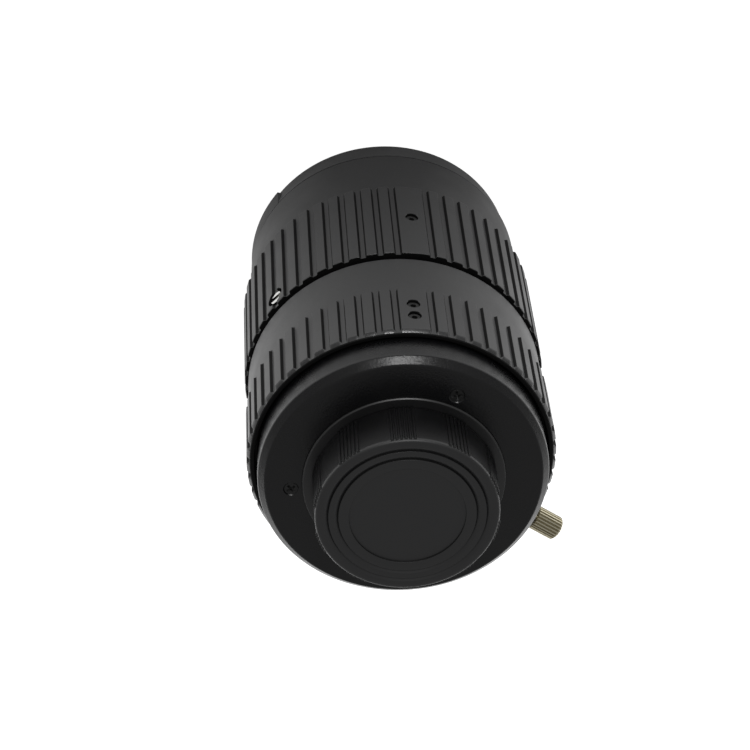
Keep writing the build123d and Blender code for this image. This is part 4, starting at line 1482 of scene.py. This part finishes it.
class IrisControl(GripRing):
    """Iris ring, its sunk screws and the knurled lock screw."""

    sizes = IrisSizes()
    thumb = ThumbScrewSizes()

    def outline(self) -> list[Corner]:
        """Section of the iris ring: lands that rise from a band at the level of the grooves.

        Returns:
            Its corners, from the bore's front end.
        """
        s = self.sizes
        depth = self.grip.depth
        band = s.radius - depth
        start, rear = s.groove_end, s.rear - s.rear_chamfer
        return [
            Corner(s.bore, s.front, EASED),
            Corner(band - s.front_chamfer, s.front, 0.08),
            Corner(band, s.front + s.front_chamfer, EASED),
            Corner(band, start - s.runout),
            self.land(0.1, start - 0.1),
            self.land(0.0, start),
            self.land(0.0, rear - 0.1),
            self.land(0.06, rear + 0.06),
            Corner(s.radius - depth, rear + depth),
            Corner(s.radius - s.rear_chamfer, s.rear, CRISP),
            Corner(s.mouth, s.rear, 0.08),
            Corner(s.mouth, s.rear - s.mouth_depth),
            Corner(s.bore, s.rear - s.mouth_depth),
        ]

    def build(self) -> None:
        """Builds the ring, its screws and the lock screw."""
        s = self.sizes
        set_places = [(angle, s.screw_height) for angle in self.strips()]
        drive_place = (s.strip, s.drive_height)
        holes = [(*place, self.grip.hole) for place in (*set_places, drive_place)]
        self.make_ring("iris_ring", holes)
        # The third strip's hole takes the lock screw.
        self.socket_screws("iris_socket_screws", set_places[:2], "iris_ring", "iris_set_screws")
        self.socket_screws(
            "iris_drive_socket_screw", [drive_place], "iris_ring", "iris_drive_screw"
        )
        self.lock_screw()

    def lock_screw(self) -> None:
        """Knurled thumbscrew: turned blank with straight flutes and bevelled ends."""
        s, t = self.sizes, self.thumb
        start = t.neck_start + t.neck_length
        end = start + t.head_length
        outline = [
            Corner(0, t.tip),
            Corner(t.dog, t.tip, EASED),
            Corner(t.dog, t.shank_start),
            Corner(t.shank, t.shank_start),
            Corner(t.shank, t.neck_start),
            Corner(t.neck, t.neck_start, EASED),
            Corner(t.neck, start, EASED),
            Corner(t.head - t.bevel, start),
            Corner(t.head, start, 0.0, t.flute_depth),
            Corner(t.head, end - t.bevel, 0.0, t.flute_depth),
            Corner(t.head - t.bevel, end, CRISP),
            Corner(t.nib, end - t.dish, EASED),
            Corner(0, end - t.dish),
        ]
        pitch = FULL_TURN / t.flutes
        stations = [
            Station(FULL_TURN * n / t.flutes + pitch * place, depth)
            for n in range(t.flutes)
            for place, depth in t.flute
        ]
        mesh = turned_mesh("iris_thumbscrew", outline, stations)
        mesh.transform(radial_matrix(s.thumb_angle, 0, s.screw_height))
        body = "iris_lock_screw"
        self.add("iris_thumbscrew", mesh, NICKEL_SILVER, body, body, angle=math.radians(12))


@dataclass
class FocusSizes:
    """Sizes of the focus ring and its screws."""

    radius: float = 25.49
    bore: float = 24.05
    rear: float = -29.68
    front: float = -52.1
    rear_chamfer: float = 0.12
    front_chamfer: float = 0.6
    first_groove: float = 268.5
    strip: float = 261.8
    hole_mouth: float = 25.4
    screw_height: float = -41.4
    stop_angle: float = 321.7
    stop_height: float = -32.2
    stop_hole: float = 1.8
    stop_head: float = 1.25
    stop_seat: float = 24.02
    stop_top: float = 25.25
    stop_shank: float = 1.0
    stop_inner_end: float = 21.5
    slot_width: float = 0.95
    slot_depth: float = 0.8
    slot_turn: float = 73.0
    stop_edge: float = 0.06


class FocusControl(GripRing):
    """Focus ring, its sunk screws and the bright slotted screw."""

    sizes = FocusSizes()

    def outline(self) -> list[Corner]:
        """Section of the focus ring, with grooves along its whole length.

        Returns:
            Its corners, from the bore's front end.
        """
        s = self.sizes
        depth = self.grip.depth
        front, rear = s.front + s.front_chamfer, s.rear - s.rear_chamfer
        return [
            Corner(s.bore, s.front, EASED),
            Corner(s.radius - s.front_chamfer, s.front, 0.08),
            Corner(s.radius - depth, front - depth),
            self.land(0.08, front - 0.08),
            self.land(0.02, front + 0.03),
            self.land(0.0, front + 0.14),
            self.land(0.0, rear - 0.1),
            self.land(0.06, rear + 0.06),
            self.land(s.rear_chamfer, s.rear),
            Corner(s.radius - depth - 0.02, s.rear),
            Corner(s.bore, s.rear, EASED),
        ]

    def build(self) -> None:
        """Builds the ring and its screws."""
        s = self.sizes
        places = [(angle, s.screw_height) for angle in self.strips()]
        holes = [(*place, self.grip.hole) for place in places]
        self.make_ring("focus_ring", [*holes, (s.stop_angle, s.stop_height, s.stop_hole)])
        self.socket_screws("focus_socket_screws", places, "focus_ring", "focus_set_screws")
        self.stop_screw()

    def stop_screw(self) -> None:
        """Slotted screw: a disc and shank, with two half-moons left standing beside the slot."""
        s = self.sizes
        floor = s.stop_top - s.slot_depth
        blank = [
            Corner(0, s.stop_inner_end),
            Corner(s.stop_shank, s.stop_inner_end, EASED),
            Corner(s.stop_shank, s.stop_seat),
            Corner(s.stop_head, s.stop_seat, CRISP),
            Corner(s.stop_head, floor),
            Corner(0, floor),
        ]
        meshes = [turned_mesh("blank", blank, even_stations(48))]
        edge = math.asin(s.slot_width / 2 / s.stop_head)
        for side in (0.0, math.pi):
            outline = arc_points(s.stop_head, side + edge, side + math.pi - edge, 20)
            meshes.append(prism_mesh("half_moon", outline, floor - OVERLAP, s.stop_top))
        mesh = joined_mesh("focus_slotted_screw", meshes)
        mesh.transform(radial_matrix(s.stop_angle, 0, s.stop_height) @ about_axis(s.slot_turn))
        piece = as_object("focus_slotted_screw", mesh)
        edge_cut = piece.modifiers.new("edges", "BEVEL")
        edge_cut.width = mm(s.stop_edge)
        edge_cut.segments = 2
        edge_cut.limit_method = "ANGLE"
        settle(piece)
        self.dress(piece, PLATED_STEEL, "focus_ring", "focus_stop_screw")


def dome(half: float, rim: float, bulge: float) -> list[Corner]:
    """Corners along a spherical face, from the axis out to its rim.

    Args:
        half: radius of the rim.
        rim: height of the rim.
        bulge: height of the face's middle above its rim, below 0 where it points down.

    Returns:
        The corners, axis first.
    """
    steps = 14
    sphere = (half**2 + bulge**2) / (2 * abs(bulge))
    corners = []
    for n in range(steps + 1):
        radius = half * n / steps
        drop = sphere - math.sqrt(sphere**2 - radius**2)
        corners.append(Corner(radius, rim + math.copysign(abs(bulge) - drop, bulge)))
    return corners


def element(s: "FrontSizes | RearOpticsSizes") -> list[Corner]:
    """Outline of a glass element: two polished faces and a ground edge.

    Args:
        s: sizes that hold the element's radii, heights and bulges.

    Returns:
        Its corners, from the axis round to the axis.
    """
    return [
        *dome(s.glass_dome, s.glass_front, s.front_bulge),
        Corner(s.glass, s.glass_front),
        Corner(s.glass, s.glass_rear),
        *reversed(dome(s.glass_dome, s.glass_rear, s.rear_bulge)),
    ]


@dataclass
class FrontSizes:
    """Sizes of the front barrel, its filter thread and the front cell."""

    radius: float = 24.0
    skirt: float = 23.95
    skirt_rear: float = -46.0
    step: float = -52.3
    rim: float = -65.1
    bevel: float = 0.2
    filter_bore: float = 22.65
    filter_seat: float = -60.1
    filter_pitch: float = 0.75
    filter_depth: float = 0.4
    filter_gap: float = 0.5
    filter_ends: float = 1.2  # height without thread at both of its ends together
    filter_lead: float = 0.2
    sleeve: float = 22.3
    sleeve_bore: float = 20.7
    sleeve_rear: float = -35.5
    web_bore: float = 19.2
    web_rear: float = -50.0
    cell_flange: float = 22.5
    cell_front: float = -61.6
    cell: float = 18.9
    cell_rear: float = -22.0
    cell_mouth: float = 13.1
    cell_mouth_end: float = -33.0
    cell_web: float = 11.4
    cell_web_end: float = -36.0
    cell_cone: float = 15.0
    cell_cone_start: float = -40.0
    cell_cone_end: float = -44.0
    glass: float = 17.5
    glass_fit: float = 0.1
    glass_clear: float = 15.6
    glass_dome: float = 14.8
    glass_front: float = -58.6
    glass_rear: float = -53.0
    front_bulge: float = -2.0
    rear_bulge: float = 0.8
    ring_front: float = -61.2
    ring_lip: float = 1.2


class FrontEnd(Assembly):
    """Front barrel with its filter thread, front cell, retaining ring and front element."""

    sizes = FrontSizes()

    def build(self) -> None:
        """Builds the pieces of the front end."""
        self.barrel()
        self.cell()
        self.glass()

    def barrel(self) -> None:
        """Smooth sleeve in front of the focus ring, with the filter thread in its mouth."""
        s = self.sizes
        wall = s.filter_bore + s.filter_depth
        outline = [
            Corner(s.sleeve_bore, s.sleeve_rear),
            Corner(s.sleeve, s.sleeve_rear),
            Corner(s.sleeve, s.skirt_rear),
            Corner(s.skirt, s.skirt_rear),
            Corner(s.skirt, s.step),
            Corner(s.radius, s.step),
            Corner(s.radius, s.rim + s.bevel, 0.08),
            Corner(s.radius - s.bevel, s.rim, 0.08),
            Corner(wall + s.filter_lead, s.rim, CRISP),
            Corner(wall, s.rim + s.filter_lead, CRISP),
            Corner(wall, s.filter_seat),
            Corner(s.web_bore, s.filter_seat),
            Corner(s.web_bore, s.web_rear),
            Corner(s.sleeve_bore, s.web_rear),
        ]
        thread = self.workshop.wind_thread(
            "filter_thread",
            self.stock.get(ANODISED),
            wall=wall,
            pitch=s.filter_pitch,
            depth=s.filter_depth,
            start=s.rim + s.filter_gap,
            length=s.filter_seat - s.rim - s.filter_ends,
            inwards=True,
        )
        mesh = joined_mesh("front_barrel", [turned_mesh("barrel", outline), thread])
        self.add("front_barrel_sleeve", mesh, ANODISED, "focus_group", "front_barrel")

    def cell(self) -> None:
        """Front cell's flange and mouth, and the ring that holds the glass."""
        s = self.sizes
        bore = s.glass + s.glass_fit
        outline = [
            Corner(bore, s.cell_front, EASED),
            Corner(s.cell_flange, s.cell_front, EASED),
            Corner(s.cell_flange, s.filter_seat),
            Corner(s.cell, s.filter_seat),
            Corner(s.cell, s.cell_rear, EASED),
            Corner(s.cell_mouth, s.cell_rear, EASED),
            Corner(s.cell_mouth, s.cell_mouth_end),
            Corner(s.cell_web, s.cell_mouth_end),
            Corner(s.cell_web, s.cell_web_end),
            Corner(s.cell_cone, s.cell_cone_start),
            Corner(s.cell_cone, s.cell_cone_end),
            Corner(bore, s.cell_cone_end),
        ]
        self.turn("front_cell_body", outline, INNER_BLACK, "focus_group", "front_cell")
        ring = [
            Corner(s.glass_clear + s.ring_lip, s.ring_front, EASED),
            Corner(s.glass, s.ring_front, EASED),
            Corner(s.glass, s.glass_front),
            Corner(s.glass_clear, s.glass_front, CRISP),
            Corner(s.glass_clear, s.ring_front + 1.0, CRISP),
        ]
        body, node = "focus_group", "front_retaining_ring"
        self.turn("front_glass_ring", ring, INNER_BLACK, body, node)

    def glass(self) -> None:
        """Front element."""
        self.turn("front_glass", element(self.sizes), GLASS, "focus_group", "front_element")


@dataclass
class RearOpticsSizes:
    """Sizes of the rear cell, the rear element and its retaining ring."""

    aperture: float = 8.4
    flange: float = 15.0
    flange_front: float = -9.7
    flange_rear: float = -8.5
    tube: float = 10.9
    tube_bore: float = 9.6
    tube_rear: float = 2.5
    seat: float = -7.5
    glass: float = 9.5
    glass_dome: float = 8.2
    glass_front: float = -2.5
    glass_rear: float = 0.8
    front_bulge: float = -0.9
    rear_bulge: float = 0.7
    ring_rear: float = 2.0
    ring_lip: float = 8.9
    ring_bevel: float = 1.4


class RearOptics(Assembly):
    """What shows inside the mount when its cap is off: rear cell, glass and its ring."""

    sizes = RearOpticsSizes()

    def build(self) -> None:
        """Builds the rear cell, the rear element and its retaining ring."""
        s = self.sizes
        cell = [
            Corner(s.aperture, s.flange_front),
            Corner(s.flange, s.flange_front),
            Corner(s.flange, s.flange_rear),
            Corner(s.tube, s.flange_rear),
            Corner(s.tube, s.tube_rear, 0.15),
            Corner(s.tube_bore, s.tube_rear, 0.15),
            Corner(s.tube_bore, s.seat),
            Corner(s.aperture, s.seat),
        ]
        self.turn("rear_cell_body", cell, INNER_BLACK, "main", "rear_cell")
        self.turn("rear_glass", element(s), GLASS, "main", "rear_element")
        ring = [
            Corner(s.aperture, s.glass_rear),
            Corner(s.glass, s.glass_rear),
            Corner(s.glass, s.ring_rear, EASED),
            Corner(s.ring_lip, s.ring_rear, EASED),
            Corner(s.aperture, s.ring_bevel, EASED),
        ]
        self.turn("rear_glass_ring", ring, INNER_BLACK, "main", "rear_retaining_ring")


@dataclass
class FrontCapSizes:
    """Sizes of the snap-on front cap and its finger tabs."""

    rim: float = -65.3
    face: float = -70.5
    rear_radius: float = 23.9
    front_radius: float = 23.2
    rounding: float = 0.9
    floor: float = 1.1
    bore: float = 21.0
    ledge: float = 0.8
    ledge_height: float = 2.7
    spigot: float = 22.45
    spigot_top: float = -63.1
    skirt_start: float = 1.6
    tab_angles: tuple[float, float] = (343.0, 163.0)
    tab_width: float = 17.1
    tab_gap: float = 0.15
    tab_inner: float = 17.5
    tab_travel: float = 1.8
    window_gap: float = 0.3
    window_reach: float = 30.0
    tab_wall: float = 1.9
    hook_width: float = 12.0
    hook_radius: float = 22.5
    hook_wall: float = 1.3
    hook_top: float = -63.4
    floor_gap: float = 0.1


class FrontCap(Assembly):
    """Front cap: cup and two finger tabs."""

    sizes = FrontCapSizes()

    def build(self) -> None:
        """Builds the cup and both tabs."""
        self.cup()
        for number, angle in enumerate(self.sizes.tab_angles, start=1):
            self.tab(number, angle)

    def cup(self) -> None:
        """Moulded cup with a window for each tab."""
        s = self.sizes
        floor = s.face + s.floor
        ledge = floor + s.ledge_height
        outline = [
            Corner(0, s.face),
            Corner(s.front_radius - 0.02, s.face, s.rounding),
            Corner(s.front_radius + 0.12, s.face + s.skirt_start),
            Corner(s.rear_radius, s.rim, 0.12),
            Corner(s.spigot, s.rim, CRISP),
            Corner(s.spigot, s.spigot_top, 0.2),
            Corner(s.bore, s.spigot_top, EASED),
            Corner(s.bore, ledge),
            Corner(s.bore - s.ledge, ledge, CRISP),
            Corner(s.bore - s.ledge, floor, EASED),
            Corner(0, floor),
        ]
        piece = as_object("front_cap_cup", turned_mesh("front_cap_cup", outline))
        inner = s.tab_inner - s.tab_travel - s.window_gap
        half = s.tab_width / 2 + s.tab_gap
        outer = s.window_reach
        spots = ((inner, -half), (outer, -half), (outer, half), (inner, half))
        box = [Vector(spot) for spot in spots]
        windows = []
        for angle in s.tab_angles:
            window = prism_mesh("window", box, floor, s.spigot_top + 1.0)
            window.transform(about_axis(angle))
            windows.append(window)
        drill(piece, windows)
        self.dress(piece, MOULDED, "front_cap", "front_cap")

    def band(self, outer: float, inner: float, half: float) -> list[Vector]:
        """Outline between two arcs, cut off at a half width; an inner radius of 0 is a flat.

        Args:
            outer: radius of the outer arc.
            inner: radius of the inner arc, or 0.
            half: half the width.

        Returns:
            The outline's points.
        """
        s = self.sizes
        steps = 32
        reach = math.asin(half / outer)
        outline = arc_points(outer, -reach, reach, steps)
        if inner <= 0:
            return outline + [Vector((s.tab_inner, half)), Vector((s.tab_inner, -half))]
        back = math.asin(half / inner)
        return outline + arc_points(inner, back, -back, steps)

    def tab(self, number: int, angle: float) -> None:
        """Finger tab: slab, grip wall and hook.

        Args:
            number: 1 or 2.
            angle: degrees round the axis.
        """
        s = self.sizes
        low = s.face + s.floor + s.floor_gap
        slab_top = s.face + s.floor + s.ledge_height - s.floor_gap
        half = s.tab_width / 2
        wall = s.rear_radius - s.tab_wall
        hook = self.band(s.hook_radius, s.hook_radius - s.hook_wall, s.hook_width / 2)
        meshes = [
            prism_mesh("slab", self.band(s.rear_radius, 0, half), low, slab_top),
            prism_mesh("wall", self.band(s.rear_radius, wall, half), slab_top - OVERLAP, s.rim),
            prism_mesh("hook", hook, slab_top - OVERLAP, s.hook_top),
        ]
        mesh = joined_mesh("tab", meshes)
        mesh.transform(about_axis(angle))
        body = f"front_cap_tab_{number}"
        self.add(f"front_cap_finger_tab_{number}", mesh, MOULDED, body, body)


class InnerWorks(Assembly):
    """Dresses the pieces that the frame's own solids show well enough."""

    finishes = {
        INNER_BLACK: (
            "main_barrel",
            "iris_housing",
            "iris_drive_ring",
            "iris_retaining_ring",
            "helicoid_ring",
            "helicoid_retaining_ring",
            "front_spacer",
            "middle_retaining_ring",
            "rear_spacer",
        ),
        BRASS: ("guide_key",),
        GLASS: ("second_element", "third_element", "fourth_element"),
        MOULDED: ("front_cap_plate",),
    }
    tab_angles = FrontCapSizes.tab_angles
    tab_travel = FrontCapSizes.tab_travel

    def __init__(self, workshop: Workshop, stock: Stock, nodes: dict) -> None:
        """Keeps the frame's nodes too."""
        super().__init__(workshop, stock)
        self.nodes = nodes

    def build(self) -> None:
        """Gives each kept node its material."""
        blades = tuple(name for name in self.nodes if name.startswith("iris_blade_"))
        for finish, names in {**self.finishes, BLADE_STEEL: blades}.items():
            for name in names:
                piece = self.nodes[name]
                piece.data.materials.clear()
                piece.data.materials.append(self.stock.get(finish))
                LOG.info("%s keeps its solid", name)
        for number, angle in enumerate(self.tab_angles, start=1):
            self.spring(number, angle)

    def spring(self, number: int, angle: float) -> None:
        """Puts a dressed copy of a coil spring in place of the frame's own.

        Args:
            number: the spring's number.
            angle: its direction from the axis, in degrees; not used.
        """
        name = f"front_cap_spring_{number}"
        piece = as_object(f"front_cap_coil_{number}", self.nodes[name].data.copy())
        self.dress(piece, SPRING_WIRE, "front_cap", name)
        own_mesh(piece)


@dataclass
class StudioSizes:
    """Camera and lamp places, in millimetres, fitted to the outlines in the photograph."""

    camera: tuple[float, float, float] = (21.11, -238.72, 320.64)
    right: tuple[float, float, float] = (-0.99870, 0.0, 0.05101)
    up: tuple[float, float, float] = (-0.02862, -0.82785, -0.56023)
    focal: float = 118.9
    sensor: float = 36.0
    clip: tuple[float, float] = (10.0, 20000.0)
    floor: float = -70.5
    floor_thickness: float = 5.0
    floor_radius: float = 6000.0
    shade_middle: float = -27.0
    shade: tuple[float, float] = (11.0, 100.0)
    key_place: tuple[float, float, float] = (-20.0, -575.0, 400.0)
    key_aim: tuple[float, float, float] = (0.0, 0.0, -30.0)
    key_side: float = 150.0
    key_watts: float = 1.9


@dataclass(frozen=True)
class LightLevels:
    """Strengths of the white surroundings, where 1 is white to the camera."""

    paper: float = 0.55
    floor_seen: float = 0.8
    floor_far: float = 1.25
    horizon: float = 0.5
    overhead: float = 0.46
    horizon_end: float = 0.1
    overhead_start: float = 0.55


WHITE = (1.0, 1.0, 1.0, 1.0)


class Studio:
    """White studio: floor, surroundings, soft lamps and the camera."""

    sizes = StudioSizes()
    levels = LightLevels()

    def build(self) -> None:
        """Builds the studio."""
        self.floor()
        self.world()
        self.key_lamp()
        self.camera()
        bpy.context.scene.view_settings.view_transform = "Standard"

    def floor(self) -> None:
        """Large white floor under the lens, which keeps its shadow."""
        s, paper = self.sizes, self.levels.paper
        outline = arc_points(s.floor_radius, 0.0, FULL_TURN, 64)[:-1]
        mesh = prism_mesh("floor", outline, s.floor - s.floor_thickness, s.floor)
        piece = as_object("floor", mesh)
        made = bpy.data.materials.new("white_paper")
        made.use_nodes = True
        tree = made.node_tree
        tree.nodes.clear()
        matt = add_node(tree, "ShaderNodeBsdfDiffuse", {"Color": (paper, paper, paper, 1.0)})
        light = {"Color": WHITE, "Strength": self.floor_light(tree)}
        glow = add_node(tree, "ShaderNodeEmission", light)
        both = add_node(tree, "ShaderNodeAddShader", {0: matt, 1: glow})
        add_node(tree, "ShaderNodeOutputMaterial", {"Surface": both})
        piece.data.materials.append(made)

    def floor_light(self, tree: NodeTree) -> Node:
        """Gives the floor's own light: white to the camera, else a glow that is dimmer close to
        the lens, a painted shadow of the lens in what the lens reflects.

        Args:
            tree: the floor's node tree.

        Returns:
            The node that gives the light's strength.
        """
        s, levels = self.sizes, self.levels
        spot = add_node(tree, "ShaderNodeTexCoord").outputs["Object"]
        parts = add_node(tree, "ShaderNodeSeparateXYZ", {0: spot}).outputs
        flat = add_node(tree, "ShaderNodeCombineXYZ", {"X": parts["X"], "Y": parts["Y"]})
        ends = {0: flat, 1: (0.0, mm(s.shade_middle), 0.0)}
        radius = add_node(tree, "ShaderNodeVectorMath", ends, operation="DISTANCE")
        near, far = (mm(value) for value in s.shade)
        fade = {"Value": radius.outputs["Value"], 1: near, 2: far, 3: 0.0, 4: levels.floor_far}
        # painted shadow: the glow fades towards the lens, centred a little to the camera's side
        soft = add_node(tree, "ShaderNodeMapRange", fade)
        seen = add_node(tree, "ShaderNodeLightPath").outputs["Is Camera Ray"]
        white = add_node(tree, MATH, {0: seen, 1: levels.floor_seen}, operation="MULTIPLY")
        return add_node(tree, MATH, {0: soft, 1: white}, operation="MAXIMUM")

    def world(self) -> None:
        """Surroundings: white to the camera, white at the horizon and greyer overhead."""
        levels = self.levels
        world = bpy.data.worlds.new("studio")
        bpy.context.scene.world = world
        world.use_nodes = True
        tree = world.node_tree
        tree.nodes.clear()
        way = add_node(tree, "ShaderNodeTexCoord").outputs["Generated"]
        height = add_node(tree, "ShaderNodeSeparateXYZ", {0: way}).outputs["Z"]
        heights = {"Value": height, 1: levels.horizon_end, 2: levels.overhead_start}
        strengths = {3: levels.horizon, 4: levels.overhead}
        fade = add_node(tree, "ShaderNodeMapRange", {**heights, **strengths})
        camera = add_node(tree, "ShaderNodeLightPath").outputs["Is Camera Ray"]
        strength = add_node(tree, MATH, {0: fade, 1: camera}, operation="MAXIMUM")
        sky = add_node(tree, "ShaderNodeBackground", {"Color": WHITE, "Strength": strength})
        add_node(tree, "ShaderNodeOutputWorld", {"Surface": sky})

    def key_lamp(self) -> None:
        """Soft square lamp below the camera's height, which lights the chamfers."""
        s = self.sizes
        data = bpy.data.lights.new("key", "AREA")
        data.size = mm(s.key_side)
        data.energy = s.key_watts
        lamp = bpy.data.objects.new("key", data)
        bpy.context.scene.collection.objects.link(lamp)
        start = Vector(s.key_place) * mm(1.0)
        lamp.location = start
        lamp.rotation_mode = "QUATERNION"
        lamp.rotation_quaternion = (Vector(s.key_aim) * mm(1.0) - start).to_track_quat("-Z", "Y")

    def camera(self) -> None:
        """Camera at the photograph's place, with the picture's own roll."""
        s = self.sizes
        data = bpy.data.cameras.new("camera")
        data.lens = s.focal
        data.sensor_width = s.sensor
        data.clip_start, data.clip_end = (mm(value) for value in s.clip)
        right, up = Vector(s.right), Vector(s.up)
        back = right.cross(up)
        turn = Matrix((right, up, back)).transposed().to_4x4()
        camera = bpy.data.objects.new("camera", data)
        bpy.context.scene.collection.objects.link(camera)
        camera.matrix_world = Matrix.Translation(Vector(s.camera) * mm(1.0)) @ turn
        bpy.context.scene.camera = camera


def main() -> None:
    """Builds every sub-assembly round the frame."""
    logging.basicConfig(level=logging.INFO, format="%(name)s: %(message)s")
    for spare in list(bpy.data.objects):
        bpy.data.objects.remove(spare)
    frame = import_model()
    workshop, stock = Workshop(), Stock()
    for assembly in (RearCap, MountEnd, IrisControl, FocusControl, FrontEnd, RearOptics, FrontCap):
        assembly(workshop, stock).build()
    InnerWorks(workshop, stock, frame["nodes"]).build()
    Studio().build()


if __name__ == "__main__":
    main()
